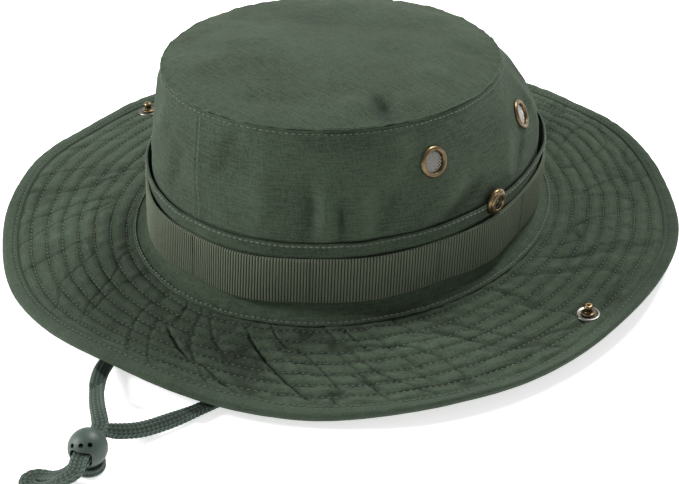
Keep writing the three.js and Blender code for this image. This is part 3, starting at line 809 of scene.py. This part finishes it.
# Creases of the wall: from and to, in degrees round the head and share of the wall's height, then width and
# depth in millimetres.
WALL_CREASES = [
    ((-51, -0.1), (-49, 0.55), 4.0, 1.9), ((-46.4, -0.3), (-45.4, 0.34), 1.3, -2.1),
    ((-39, 0.0), (-37, 0.5), 3.4, 1.5), ((-55, 0.0), (-53, 0.5), 3.0, -1.1),
    ((-36, 0.05), (-30, 0.45), 4.0, -1.2), ((-24, 0.02), (-9, 0.34), 3.2, 1.5),
    ((-17, 0.0), (-3, 0.26), 2.6, -1.4), ((-31, 0.5), (-20, 0.95), 4.0, 1.2),
    ((6, 0.1), (16, 0.5), 3.4, 1.3), ((12, 0.02), (24, 0.4), 2.8, -1.3),
    ((-70, 0.1), (-66, 0.75), 6.0, 1.0), ((-82, 0.5), (-74, 0.95), 3.6, -0.9),
    ((-104, 0.1), (-98, 0.6), 5.0, -1.1), ((-122, 0.2), (-112, 0.8), 5.0, 1.3),
    ((35, 0.1), (41, 0.9), 4.4, 1.5), ((55, 0.1), (50, 0.8), 4.0, -1.5),
    ((78, 0.2), (70, 0.8), 5.0, 1.4), ((104, 0.1), (112, 0.7), 4.4, -1.5),
    ((128, 0.2), (136, 0.8), 5.0, 1.5), ((150, 0.1), (158, 0.6), 4.0, -1.3),
    ((178, 0.1), (172, 0.6), 4.0, 1.3), ((-160, 0.1), (-150, 0.7), 4.5, -1.3),
]
WALL_TALL = 46.0
# A degree round the head in millimetres, along the wall, at the front and back seams, and at the sides.
WALL_DEGREE, SEAM_DEGREE, SIDE_DEGREE = 1.55, 1.6, 1.47


def wall_creases(t, share):
    """Height of the wall's creases together, that share of the way up."""
    deg = wrap(np.degrees(t))
    total = 0.0
    for (d0, u0), (d1, u1), width, depth in WALL_CREASES:
        start, end = (0, u0 * WALL_TALL), (wrap(d1 - d0) * WALL_DEGREE, u1 * WALL_TALL)
        total = total + crease(wrap(deg - d0) * WALL_DEGREE, share * WALL_TALL, start, end, width, depth)
    return total


def wall_shade(t, z):
    """Uneven, with painted shade in the valleys of the wall's creases and painted light on their ridges."""
    share = wall_share(t, z)
    return (0.12 * waves(t, 3.0 * share + 5, 19, 15) + 0.16 * wall_creases(t, share)) * (z > BAND_TOP)


def wall(t, z):
    """Outside of the crown wall: slack folds, the tip seam's puckers and its turned-down allowance, and the
    seams at the front and the back."""
    u = wall_share(t, z)
    below = tip_seam(t) - z
    free = smooth(u, -0.04, 0.22) * smooth(below, 0, 10)
    folds = 1.2 * waves(t, 2.0 * u + 5, 13, 11) + 0.55 * waves(t + 0.3 * u, 4 * u, 31, 12)
    folds = folds + 0.2 * waves(t - 0.5 * u, 9 * u, 84, 14) + wall_creases(t, u)
    puckers = waves(t, below / 6.0, 128, 13) * np.exp(-np.abs(below - 2) / 5.0) * 0.42
    fell = 0.35 * (1 - smooth(below, 2.6, 3.6)) - 0.2 * bump(below, 0.6, 0.4)
    seam = np.abs(wrap(np.degrees(t) + 90))
    seam = np.minimum(seam, 180 - seam) * SEAM_DEGREE
    joint = 0.22 * (1 - smooth(seam, 2.2, 3.2)) - 0.3 * bump(seam, 0, 0.3)
    puff = free * folds + puckers * smooth(below, 0.5, 2.5) + fell
    base = wall_base(t, z)
    return base + outward(t) * (puff * calm(base) + joint * (below > 0))[..., None]


def add_walls():
    for name, start in (("left", -90.0), ("right", 90.0)):
        t = np.radians(start + np.linspace(-0.05, 180.05, 300))[None, :]
        share = np.concatenate([np.linspace(0, 0.42, 7), np.linspace(0.45, 1, 100)])[:, None]
        z = mix(BRIM_LOW, tip_seam(t) - 0.2, share)
        outer = wall(t, z)
        inner = outer - outward(t) * CLOTH
        middle = (outer[1:, 1:] + outer[:-1, :-1]) / 2
        keep = np.ones(middle.shape[:2], bool)
        for spots, radius in ((VENT_SPOTS, VENT_HOLE), (SNAP_SPOTS, SNAP_HOLE)):
            for at, _ in spots.values():
                keep &= np.linalg.norm(middle - at, axis=-1) > radius
        shade = wall_shade(t, z)
        piece = shell(f"crown_cloth_{name}", outer, inner, RIPSTOP, keep=keep, tone=shade)
        stand_in(piece, "root", f"crown_wall_{name}")


# ---------- top of the crown ----------
# Creases of the tip: from and to, width and depth, all in millimetres. The first is its deepest dent.
TIP_CREASES = [
    ((63, -52), (47, -38), 3.6, -3.0), ((58, -62), (38, -50), 5.0, 1.5), ((69, -38), (52, -28), 4.0, 1.2),
    ((20, -99), (12, -76), 7.0, -0.9), ((-30, -92), (-22, -66), 6.0, 1.0), ((50, 44), (30, 32), 6.0, -1.4),
    ((10, 74), (4, 50), 6.0, 1.2), ((-62, -20), (-36, -18), 6.0, -1.1), ((-48, 42), (-26, 28), 6.0, 1.2),
    ((66, 0), (40, 4), 6.0, 1.1),
]
# The roll round the tip, out and up from its seam.
TIP_ROLL = np.array([(0.35, 0.14), (0.62, 0.02), (0.7, -0.3), (0.6, -0.62), (0.35, -0.8)])


def tip(t, r):
    """Top of the tip, r from 0 in the middle to 1 at its seam."""
    plain = oval(t, TIP_A * r, TIP_B * r, 0.0, TIP_LEAN)
    x, y = plain[..., 0], plain[..., 1]
    height = TIP_Z - TIP_SLOPE * r * np.sin(t) + TIP_DOME * (1 - r ** 3) + CLOTH
    slack = 1.5 * flat_waves(x, y, 30, 21, 9) + 0.55 * flat_waves(x, y, 12, 22)
    for start, end, width, depth in TIP_CREASES:
        slack = slack + crease(x, y, start, end, width, depth)
    inside = (1 - r) * TIP_A
    puckers = 0.4 * waves(t, inside / 6, 128, 23) * np.exp(-inside / 5)
    plain[..., 2] = height + slack * smooth(inside, 1, 14) + puckers
    return plain


def tip_shade(t, r):
    """Uneven, with painted shade in the tip's deepest dent."""
    x, y = TIP_A * r * np.cos(t), TIP_B * r * np.sin(t) + TIP_LEAN
    start, end, width, _ = TIP_CREASES[0]
    return 0.12 * flat_waves(x, y, 30, 21, 9) + crease(x, y, start, end, width + 1, -0.5)


def add_tip():
    """The tip, with the roll of its seam round it, painted lighter as a highlight. Its weave runs straight
    across.
    """
    t = (np.arange(560) * TURN / 560)[None, :]
    rows = np.concatenate([np.linspace(0, 0.84, 46), np.linspace(0.85, 1, 30)])[:, None]
    rolls = len(TIP_ROLL)
    flat = tip(t, rows)
    under_flat = flat - np.array([0, 0, CLOTH])
    lift = TIP_ROLL[:, 1][:, None] + 0.22 * waves(t, np.zeros((rolls, 1)), 190, 24)
    edge = flat[-1:] + outward(t) * TIP_ROLL[:, 0][:, None, None] + np.array([0, 0, 1]) * lift[..., None]
    under_edge = under_flat[-1:] + outward(t) * np.linspace(0.05, 0.2, rolls)[:, None, None]
    outer = np.concatenate([flat, edge])
    inner = np.concatenate([under_flat, under_edge])
    # The roll's rows get a fixed lighter tone: a painted highlight along the seam's ridge.
    shade = np.concatenate([tip_shade(t, rows), np.full((rolls, t.shape[1]), 0.22)])
    piece = shell("crown_tip_cloth", outer, inner, RIPSTOP, closed=True, tone=shade)
    clean(piece.data, 2e-7)
    cloth = piece.data.uv_layers["cloth"]
    for corner, loop in zip(cloth.uv, piece.data.loops):
        corner.vector = piece.data.vertices[loop.vertex_index].co.xy
    stand_in(piece, "root", "crown_tip")


# ---------- bands round the crown ----------
def through(points, steps):
    """A smooth line through points of (out, height), evenly spaced."""
    return even_route(smooth_route(points, 10), steps)[0]


def inset(line, depth):
    """The line moved sideways, to the left of its direction."""
    ahead = np.gradient(line, axis=0)
    ahead /= np.linalg.norm(ahead, axis=1, keepdims=True)
    return line + np.stack([-ahead[:, 1], ahead[:, 0]], 1) * depth


# Section of the band, (out, height above LIP_Z), from under its foot to its top edge.
BAND_PROFILE = [
    (8.6, -1.0), (9.5, -0.95), (10.0, -0.45), (9.7, 0.1), (8.9, 0.25), (7.9, 0.05), (6.6, 0.45), (4.8, 1.0),
    (3.2, 2.3), (2.1, 4.4), (1.6, 7.2), (1.4, 14), (1.35, 24), (1.4, 33.2), (1.45, 34.6), (1.75, 35.5),
    (1.55, 36.4), (0.9, 36.5),
]
BAND_SEAMS = [(8.7, 0.2), (1.6, 35.5)]      # where it is stitched
BAND_TALL = BAND_TOP - LIP_Z


def band(t, line):
    """The base band: its foot puckers over the brim seam, and its top edge stands off the wall in places."""
    deg = wrap(np.degrees(t))
    out, height = line[:, 0][:, None], line[:, 1][:, None]
    high = smooth(height, 24, 36)
    slack = 1.3 * bump(deg, 38, 16) + 1.2 * bump(deg, -142, 17) + 0.35 * (1 + waves(t, 0.0, 11, 31)) * 0.6
    ripple = 0.3 * waves(t, height / 8, 52, 32) * smooth(height, 3, 9)
    foot = 1 - smooth(height, 0.8, 5)
    puckers = foot * (0.28 * waves(t, out / 4, 210, 33) + 0.3 * waves(t, out / 9, 60, 34))
    away = out + slack * high + ripple * calm_band(t, height)
    at = wall_base(t, LIP_Z + np.minimum(height, BAND_TALL), away)
    at[..., 2] = LIP_Z + height + puckers + 0.25 * high * waves(t, 0.0, 70, 35)
    return at


def calm_band(t, height):
    """0 round the snap sockets."""
    deg = np.abs(wrap(np.degrees(t)))
    side = np.minimum(deg, 180 - deg) * SIDE_DEGREE
    return smooth(np.hypot(side, height - BAND_TALL), 5, 14)


def add_band():
    t = (np.arange(590) * TURN / 590)[None, :]
    line = through(BAND_PROFILE, 84)
    outer, inner = band(t, line), band(t, inset(line, 0.85))
    piece = shell("base_band_cloth", outer, inner, RIPSTOP, closed=True)
    stand_in(piece, "root", "base_band")
    lines = []
    round_t = np.linspace(0, TURN, 900)
    for seam in BAND_SEAMS:
        k = np.argmin(np.hypot(*(line - seam).T))
        below, path, above = band(round_t[None, :], line[k - 1:k + 2])
        normal = np.cross(np.gradient(path, axis=0), above - below)
        normal /= np.linalg.norm(normal, axis=1, keepdims=True)
        lines.append((path, normal))
    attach(sew("base_band_stitching", lines, radius=0.3, pitch=2.6, length=2.2), "root")


def loop_bulge(t):
    """How far the webbing's loops stand off between their bar tacks."""
    fold = np.degrees(np.arcsin(np.sin(t)))
    high = np.clip(np.searchsorted(TACK_ANGLES, fold, side="right"), 1, len(TACK_ANGLES) - 1)
    a, b = np.array(TACK_ANGLES)[high - 1], np.array(TACK_ANGLES)[high]
    return LOOP_BULGE * np.sin(np.pi * (fold - a) / (b - a)) ** 2


WEB_NEAR = CLOTH + 2 * GAP
RIBS, RIB_STEPS = 440, 6                # round the head, and points to a rib


def webbing_out(t, share):
    """How far the webbing's back stands off the wall, at a share of its height. Its loops gape lower down."""
    deg = wrap(np.degrees(t))
    gape = 1 + 0.8 * (1 - share) * (0.35 + bump(deg, -72, 20) + bump(deg, 2, 16))
    return WEB_NEAR + loop_bulge(t) * gape * (1 + 0.3 * waves(t, share, 24, 41))


def add_webbing():
    steps = RIBS * RIB_STEPS
    k = np.arange(steps)
    t = (k * TURN / steps)[None, :]
    lower = [0, 0.008, 0.03, 0.06, 0.12, 0.2, 0.3, 0.4]
    share = np.array([*lower, 0.5, 0.6, 0.7, 0.8, 0.88, 0.94, 0.97, 0.992, 1.0])[:, None]
    rib = np.abs(np.sin(np.pi * k / RIB_STEPS + 0.01))[None, :] ** 0.6
    edge = 1 - smooth(np.minimum(share, 1 - share), 0, 0.03)
    back = webbing_out(t, share)
    front = back + WEB_THICK - 0.62 * edge + 0.5 * (rib - 0.62) + 0.06 * waves(t, share * 9, 400, 42)
    back = back + 0.3 * edge
    z = mix(WEB_LOW, WEB_HIGH, share) + 0.25 * waves(t, 0.0, 30, 43)
    outer = oval(t, CROWN_A + front, CROWN_B + front, z)
    inner = oval(t, CROWN_A + back, CROWN_B + back, z)
    # Painted light on the ribs' crests and painted shade between them.
    tone = (rib - 0.66) * 2.4
    piece = shell("foliage_webbing_ribs", outer, inner, WEB, closed=True, tone=tone)
    stand_in(piece, "root", "foliage_webbing")


def add_bar_tacks():
    """Dense zigzags of thread that hold the webbing down between its loops."""
    angles = np.radians(sorted({*TACK_ANGLES, *(180 - a for a in TACK_ANGLES)}))
    corners = 49
    share = np.linspace(0.03, 0.97, corners)[None, :]
    sway = np.where(np.arange(corners) % 2 == 0, -1.0, 1.0)[None, :]
    t = angles[:, None] + sway * 0.5 / (CROWN_A + 4)
    out = webbing_out(t, share) + WEB_THICK + 0.12
    paths = oval(t, CROWN_A + out, CROWN_B + out, mix(WEB_LOW, WEB_HIGH, share))
    tacks = tubes("bar_tacks", paths, outward(t + 0 * share), 0.2, TACK, sides=5)
    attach(tacks, "root")


def add_sweatband():
    t = (np.arange(240) * TURN / 240)[None, :]
    section = [(-1.45, 0.2), (-1.3, 9), (-1.35, 22), (-1.6, SWEAT_TALL - 0.4)]
    line = through([(out, BRIM_LOW + up) for out, up in section], 30)

    def at(points):
        out, z = points[:, 0][:, None], points[:, 1][:, None]
        out = out - 0.5 * smooth(z, 20, 38) * (1 + waves(t, 0.0, 17, 51))
        z = z + 0.5 * waves(t, 0.0, 21, 52) * smooth(z, 10, 38)
        return oval(t, CROWN_A + out, CROWN_B + out, z)

    piece = shell("sweatband_cloth", at(line), at(inset(line, 1.0)), LINING, closed=True)
    stand_in(piece, "root", "sweatband")
    for side in SIDES:
        low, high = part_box(f"cord_anchor_{side}")
        stand_in(padded_tab(f"cord_anchor_tab_{side}", low / MM, high / MM), "root", f"cord_anchor_{side}")


def padded_tab(name, low, high):
    """A folded tab of cloth: a box with round edges."""
    work = box_work(low, high)
    bmesh.ops.bevel(work, geom=work.edges[:], offset=0.7 * MM, segments=4, affect="EDGES", profile=0.6)
    mesh = bpy.data.meshes.new(name)
    work.to_mesh(mesh)
    work.free()
    mesh.shade_smooth()
    mesh.materials.append(LINING)
    return linked(name, mesh)


add_walls()
add_tip()
add_band()
add_webbing()
add_bar_tacks()
add_sweatband()


# ---------- stitching of the crown ----------
def add_crown_stitching():
    t = np.linspace(0, TURN, 900)
    z = tip_seam(t) - 1.7
    lines = [(wall(t, z), normal_at(wall, t, z))]
    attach(sew("tip_seam_stitching", lines, pitch=2.7, length=1.8), "root")
    lines = []
    for seam in (-90, 90):
        height = np.linspace(BAND_TOP + 1.5, tip_seam(math.radians(seam)) - 3, 160)
        side = np.full_like(height, math.radians(seam) + 1.4 / CROWN_B)
        lines.append((wall(side, height) - outward(side) * 0.06, normal_at(wall, side, height)))
    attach(sew("wall_seam_stitching", lines, radius=0.14, pitch=2.7, length=1.8), "root")


add_crown_stitching()


# ---------- brim ----------
def waved(t, edge_waves):
    """Adds up waves of the brim's edge at t."""
    return sum(height * smooth(1 - np.abs(wrap(np.degrees(t) - middle)) / half, 0, 1)
               for middle, half, height in edge_waves)


def brim_share(out):
    """How far out on the brim, from the band's foot to the hem's crease."""
    return np.clip((out - LIP_OUT) / (CREASE_OUT - LIP_OUT), 0, 1)


def brim_top(t, out):
    """Height of the plain brim above the table. Its left edge curls up."""
    u = brim_share(out)
    curl = SIDE_CURL * smooth(np.cos(t), 0.6, 1) * (np.maximum(0, out - CREASE_OUT) / HEM_WIDE) ** 1.5
    return mix(BRIM_TOP, EDGE_TOP, u) + waved(t, EDGE_LIFTS) * u ** 2 + BRIM_CAMBER * 4 * u * (1 - u) + curl


def brim_spot(t, out, height):
    """A point out on the brim, drawn in by the waves of its edge."""
    reach = out - waved(t, EDGE_DRAWS) * brim_share(out) ** 2
    return oval(t, CROWN_A + reach, CROWN_B + reach, height)


ROW_OUTS = FIRST_ROW + ROW_PITCH * np.arange(ROWS)
HEM_STITCH = CREASE_OUT + 1.4
HEM_CLEAR = 0.85                        # how far the hem's stitches stand off the plies
# Creases of the brim: from and to, in degrees round the head and millimetres out, then width and depth.
BRIM_CREASES = [
    ((-67, 19), (-51, 64), 0.9, -1.9), ((-62, 22), (-47, 60), 2.4, 1.1), ((-84, 32), (-74, 50), 0.9, -1.5),
    ((-72, 50), (-61, 68), 0.9, -1.5), ((-45, 12), (-39, 34), 0.9, -1.2), ((-39.5, 15), (-31, 50), 0.9, -1.2),
    ((-45, 42), (-39, 60), 0.9, -1.2), ((-36.5, 38), (-31, 58), 0.9, -1.0), ((-56, 34), (-50, 58), 0.9, -0.9),
    ((-26, 22), (-16, 48), 1.2, -0.8), ((14, 20), (24, 54), 2.6, -0.8), ((40, 16), (46, 48), 2.6, 0.8),
    ((95, 20), (104, 56), 2.8, -0.9), ((150, 18), (160, 50), 2.6, 0.8), ((-158, 20), (-150, 44), 2.6, -0.8),
]
BRIM_DEGREE = 2.3                       # a degree of the brim, in millimetres
TOP_SEED, UNDER_SEED = 60, 160
# The lowest that the threads, and the outside and the inside of the hem, may lie above the table.
THREAD_FLOOR, HEM_FLOOR, HEM_INNER_FLOOR = 0.4, 0.02, 0.3


def quilting(t, out, seed, creases=True):
    """How far the rolls between stitch rows and the slanting puckers lift the cloth off the plain brim, and
    how much lighter or darker they make it: painted light on the rolls and ridges, and painted shade at the
    stitch rows and in the valleys of puckers and creases."""
    deg = wrap(np.degrees(t))
    s = (out - FIRST_ROW) / ROW_PITCH + 0.05 * waves(t, 0.0, 40, seed)
    inside = smooth(out, LIP_OUT - 2, FIRST_ROW) * (1 - smooth(out, CREASE_OUT - 3, CREASE_OUT + 1))
    roll = np.abs(np.sin(np.pi * s)) ** 0.5
    busy = 0.5 + 0.8 * bump(deg, -44, 30) + 0.3 * bump(deg, 8, 24)
    busy = busy + 0.4 * bump(deg, 110, 60) + 0.35 * bump(deg, -140, 26)
    skew = 0.62 * (out - FIRST_ROW) / 130
    first = waves(t - skew, s * 0.5, 150, seed + 1)
    second = waves(t + 0.7 * skew, s * 1.1, 190, seed + 2)
    puckers = 0.6 * first * busy + 0.35 * second * busy
    sharp = -0.85 * bump(waves(t - skew, s * 0.28, 72, seed + 3), 0, 0.09) * busy
    sharp = sharp - 0.5 * bump(waves(t + 0.5 * skew, s * 0.3, 60, seed + 5), 0, 0.07) * (busy - 0.4)
    broad = 0.6 * waves(t - 0.4 * skew, out / 24, 26, seed + 4)
    lift = 1.15 * roll - 0.7 + (puckers + sharp) * (0.3 + 0.7 * roll) + broad
    # Painted light and shade: lighter on the rolls and pucker tops, darker at the stitch rows and in sharp
    # valleys.
    tone = (roll - 0.86) * 0.6 + puckers * 0.1 + sharp * 0.4
    if creases:
        for (d0, o0), (d1, o1), width, depth in BRIM_CREASES:
            end = ((d1 - d0) * BRIM_DEGREE, o1)
            fold = crease(wrap(deg - d0) * BRIM_DEGREE, out, (0, o0), end, width, depth)
            # Painted shade in each crease's valley and painted light on its ridge.
            lift, tone = lift + fold, tone + 0.16 * fold
    return lift * inside, tone * inside


def brim(t, out):
    """The brim's upper side."""
    lift, _ = quilting(t, out, TOP_SEED)
    return brim_spot(t, out, brim_top(t, out) + lift)


def brim_under(t, out):
    """The brim's lower side, which is less quilted."""
    lift, _ = quilting(t, out, UNDER_SEED, creases=False)
    return brim_spot(t, out, brim_top(t, out) - PLIES - 0.6 * lift)


def half_round(side, steps):
    """Angles over the left or the right half of the head, from seam to seam."""
    start = -90 if side == "left" else 90
    return np.radians(start + np.linspace(0, 180, steps))[None, :]


def bend(piece):
    """Bakes the piece's transform into its mesh. The piece is not attached to a body."""
    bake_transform(piece)


def add_brim():
    inner_rows = np.linspace(GAP, LIP_OUT, 5)
    quilted_rows = np.linspace(LIP_OUT + 0.6, CREASE_OUT + 1, 96)
    outs = np.concatenate([inner_rows, quilted_rows, [EDGE_OUT - 4.5, EDGE_OUT - 1.9]])[:, None]
    for side in SIDES:
        t = half_round(side, 480)
        _, tone = quilting(t, outs, TOP_SEED)
        piece = shell(f"brim_cloth_{side}", brim(t, outs), brim_under(t, outs), RIPSTOP, tone=tone)
        plies = [f"{ply}_{end}" for ply in ("upper", "lower") for end in ("front", "back")]
        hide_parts(*(f"flap_{side}_{ply}" for ply in plies), *(f"brim_{ply}" for ply in plies))
        bend(piece)


def add_brim_stitching():
    """Rows of stitches on both sides of the brim, and one more on top of the hem and under it."""
    for side in SIDES:
        t = half_round(side, 900)[0]
        lines = []
        for out in (*ROW_OUTS, HEM_STITCH):
            spread = np.full_like(t, out)
            clear = np.array([0, 0, HEM_CLEAR if out > CREASE_OUT else 0.0])
            top, under = brim(t, spread) + clear, brim_under(t, spread) - clear
            under[..., 2] = np.maximum(under[..., 2], THREAD_FLOOR)
            lines.append((top, np.broadcast_to([0.0, 0.0, 1.0], top.shape)))
            lines.append((under, np.broadcast_to([0.0, 0.0, -1.0], top.shape)))
        bend(sew(f"brim_stitching_{side}", lines, radius=0.2, pitch=2.9, length=1.6))


HEM_TOP = [(CREASE_OUT - 0.3, -0.25), (CREASE_OUT + 0.05, -0.75), (CREASE_OUT + 0.6, -0.95),
           (HEM_STITCH, -0.6), (CREASE_OUT + 2.2, -1.0), (CREASE_OUT + 3.3, -1.12), (EDGE_OUT - 2.4, -1.05)]
HEM_TURN = 2.25                         # radius of its outer edge


def hem_profile():
    """Section of the binding, (out, depth below the plies' top), from its upper edge to its lower one."""
    middle = PLIES / 2
    turn = [(EDGE_OUT - HEM_TURN + HEM_TURN * math.cos(a), middle - HEM_TURN * math.sin(a))
            for a in np.radians([60, 30, 0, -30, -60])]
    lower = [(out, PLIES - below) for out, below in HEM_TOP[::-1]]
    return through(HEM_TOP + turn + lower, 54)


def add_hem():
    line = hem_profile()
    for side in SIDES:
        t = half_round(side, 620)

        def at(points):
            out, below = points[:, 0][:, None], points[:, 1][:, None]
            round_edge = np.linspace(0, 3, len(points))[:, None]
            ripple = 0.22 * waves(t, round_edge, 240, 71) + 0.3 * waves(t, round_edge / 2, 44, 72)
            ripple = ripple * np.where(below > PLIES / 2, -0.3, 1.0)
            puff = ripple * smooth(out, CREASE_OUT + 0.5, CREASE_OUT + 3)
            reach = out + (0.7 + 0.35 * waves(t, 0.0, 34, 73)) * smooth(out, CREASE_OUT + 3, EDGE_OUT)
            return brim_spot(t, reach, brim_top(t, np.minimum(out, EDGE_OUT)) - below + puff)

        outer, inner = at(line), at(inset(line, 0.7))
        outer[..., 2] = np.maximum(outer[..., 2], HEM_FLOOR)
        inner[..., 2] = np.maximum(inner[..., 2], HEM_INNER_FLOOR)
        piece = shell(f"hem_binding_{side}", outer, inner, HEM_CLOTH)
        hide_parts(f"hem_{side}", "hem_front", "hem_back")
        bend(piece)


add_brim()
add_brim_stitching()
add_hem()


# ---------- metal fittings, each made round +Z with z = 0 on the cloth ----------
VENT_RING = [(4.75, -2.5), (5.35, -2.5), (5.35, 0.3), (7.1, 0.3), (7.15, 0.6), (6.6, 1.25), (5.9, 1.5),
             (5.2, 1.3), (4.75, 0.6)]
VENT_WASHER = [(5.7, -2.5), (7.4, -2.5), (7.4, -1.6), (5.7, -1.6)]
SOCKET = [(1.5, -3.2), (2.3, -3.2), (2.3, 1.7), (6.1, 1.7), (6.3, 2.1), (6.3, 3.2), (5.9, 3.7), (5.2, 4.0),
          (4.9, 4.6), (3.5, 4.75), (2.9, 4.4), (2.9, 2.6), (1.5, 2.6)]
SOCKET_SPRING = [(2.3, 2.9), (2.65, 2.9), (2.65, 3.9), (2.3, 3.9)]
SOCKET_EYELET = [(2.6, -2.9), (4.9, -2.9), (4.9, -2.1), (2.6, -2.1)]
STUD_WASHER = [(2.4, 0.35), (5.5, 0.35), (5.65, 0.6), (5.3, 1.1), (4.6, 1.25), (3.8, 0.95), (2.4, 0.9)]
STUD_POST = [(0.6, -2.6), (1.5, -2.6), (1.5, 1.3), (3.1, 1.3), (3.1, 1.8), (1.75, 2.2), (1.65, 3.8),
             (2.1, 4.5), (2.15, 5.0), (1.6, 5.7), (0.6, 5.7)]
STUD_CAP = [(0.9, -3.7), (4.7, -3.7), (5.0, -3.4), (5.0, -2.9), (0.9, -2.9)]
SCREEN_RADIUS, SCREEN_PITCH, WIRE_WAVER, WIRE = 4.6, 1.02, 0.18, 0.17


def vent_screen(name):
    """A round of plain-woven wire mesh."""
    paths = []
    for lengthwise in (False, True):
        for k in range(-4, 5):
            off = k * SCREEN_PITCH
            half = math.sqrt(max(SCREEN_RADIUS ** 2 - off ** 2, 0.2))
            along = np.linspace(-half, half, 44)
            beside = np.full_like(along, off)
            over = 1 if (k + lengthwise) % 2 else -1
            rise = WIRE_WAVER * np.cos(np.pi * along / SCREEN_PITCH) * over - 0.1
            paths.append(np.stack([along, beside, rise] if lengthwise else [beside, along, rise], 1))
    paths = np.array(paths)
    normals = np.broadcast_to([0.0, 0.0, 1.0], paths.shape)
    return tubes(name, paths, normals, WIRE, SCREEN, sides=5)


def place(name, profile, material, slot, spot, body, node, times=2):
    """A turned metal fitting with rounded corners on its spot, in place of a CAD node."""
    stand_in(seat(turned(name, rounded(profile, times), material), *spot), body, node)


def stud_spot(side):
    """Where the stud stands on the plain brim, and the brim's normal there."""
    sign = SIDES[side]
    out, t = STUD_X - CROWN_A, 0.0 if sign > 0 else np.pi

    def plain(angle, away):
        return brim_spot(angle, away, brim_top(angle, away))

    normal = np.cross(plain(t, out + 1) - plain(t, out - 1), plain(t + 0.02, out) - plain(t - 0.02, out))
    return np.array([sign * STUD_X, 0, brim_top(t, out)]), normal


def add_fittings():
    brass = BRASS, "antique_brass"
    pewter = PEWTER, "pewter"
    for (side, end), spot in VENT_SPOTS.items():
        stem = f"vent_{side}_{end}"
        place(f"{stem}_brass_ring", VENT_RING, *brass, spot, "root", f"{stem}_ring")
        stand_in(seat(vent_screen(f"{stem}_wire_mesh"), *spot, 0.35), "root", f"{stem}_mesh")
        place(f"{stem}_back_washer", VENT_WASHER, *brass, spot, "root", f"{stem}_washer")
    for side, spot in SNAP_SPOTS.items():
        spring = f"snap_spring_ring_{side}", SOCKET_SPRING, STEEL, "spring_steel"
        place(f"snap_socket_shell_{side}", SOCKET, *brass, spot, "root", f"snap_socket_{side}")
        place(*spring, spot, "root", f"snap_socket_spring_{side}", times=1)
        place(f"snap_eyelet_{side}", SOCKET_EYELET, *brass, spot, "root", f"snap_socket_eyelet_{side}")
        spot, body = stud_spot(side), f"brim_{side}"
        place(f"snap_post_{side}", STUD_POST, *brass, spot, body, f"snap_stud_{side}")
        place(f"snap_post_washer_{side}", STUD_WASHER, *pewter, spot, body, f"stud_washer_{side}")
        place(f"snap_post_cap_{side}", STUD_CAP, *pewter, spot, body, f"stud_cap_{side}")


add_fittings()

# ---------- floor and light, in metres ----------
FLOOR_HALF, FLOOR_LOW = 6.0, -0.0004
WALL_REACH, WALL_HIGH, WALL_CORNERS = 5.8, 1.2, 48
FLOOR_GLOW, WALL_GLOW, SKY_GLOW = 0.64, 0.85, 0.3
GLOW_FROM, GLOW_FULL = 0.08, 0.15       # how far from the middle the floor starts to shine
PALE, PALER = (0.86, 0.86, 0.86, 1), (0.88, 0.88, 0.88, 1)
WHITE = (1.0, 1.0, 1.0, 1)


def stage_piece(name, points, faces, glow):
    """A white surface of the studio that shines a little. Returns its nodes, and the place on it."""
    mesh = bpy.data.meshes.new(name)
    mesh.from_pydata(points, [], faces)
    surface = linked(name, mesh)
    n = Nodes(name, 0.9, **{"Specular IOR Level": 0.1, "Emission Color": WHITE, "Emission Strength": glow})
    place = n.add("TexCoord").outputs["Object"]
    n.link(n.mix_colour(n.noise(place, 3.0), PALE, PALER), "Base Color")
    mesh.materials.append(n.material)
    return n, place


def add_floor():
    """The floor. It doesn't shine under the hat, so that the hat's shadow stays."""
    half, low = FLOOR_HALF, FLOOR_LOW
    corners = [(-half, -half, low), (half, -half, low), (half, half, low), (-half, half, low)]
    n, place = stage_piece("floor", corners, [(0, 1, 2, 3)], FLOOR_GLOW)
    away = n.add("VectorMath", {0: place}, operation="LENGTH").outputs["Value"]
    n.link(n.ramp(away, GLOW_FROM, GLOW_FULL, 0.0, FLOOR_GLOW), "Emission Strength")


def add_backdrop():
    """A low white wall far round the floor."""
    turns = np.arange(WALL_CORNERS) * TURN / WALL_CORNERS
    ring = [(WALL_REACH * math.cos(a), WALL_REACH * math.sin(a)) for a in turns]
    points = [(x, y, z) for z in (FLOOR_LOW, WALL_HIGH) for x, y in ring]
    stage_piece("backdrop", points, ring_quads(2, WALL_CORNERS), WALL_GLOW)


def add_light(name, at, size, power, aim=(0, 0, 0.05)):
    """A round soft light, pointed at the hat."""
    data = bpy.data.lights.new(name, "AREA")
    data.shape, data.size, data.energy = "DISK", size, power
    lamp = linked(name, data)
    lamp.location = at
    lamp.rotation_euler = (Vector(aim) - Vector(at)).to_track_quat("-Z", "Y").to_euler()


def add_studio():
    add_floor()
    add_backdrop()
    world = bpy.data.worlds.new("studio")
    bpy.context.scene.world = world
    world.use_nodes = True
    sky = world.node_tree.nodes["Background"]
    sky.inputs["Color"].default_value = WHITE
    sky.inputs["Strength"].default_value = SKY_GLOW
    add_light("key", (-1.0, -1.0, 0.75), 0.4, 26.0)
    add_light("back", (-0.05, 0.95, 1.5), 0.6, 37.0)
    bpy.context.scene.view_settings.view_transform = "Standard"


add_studio()
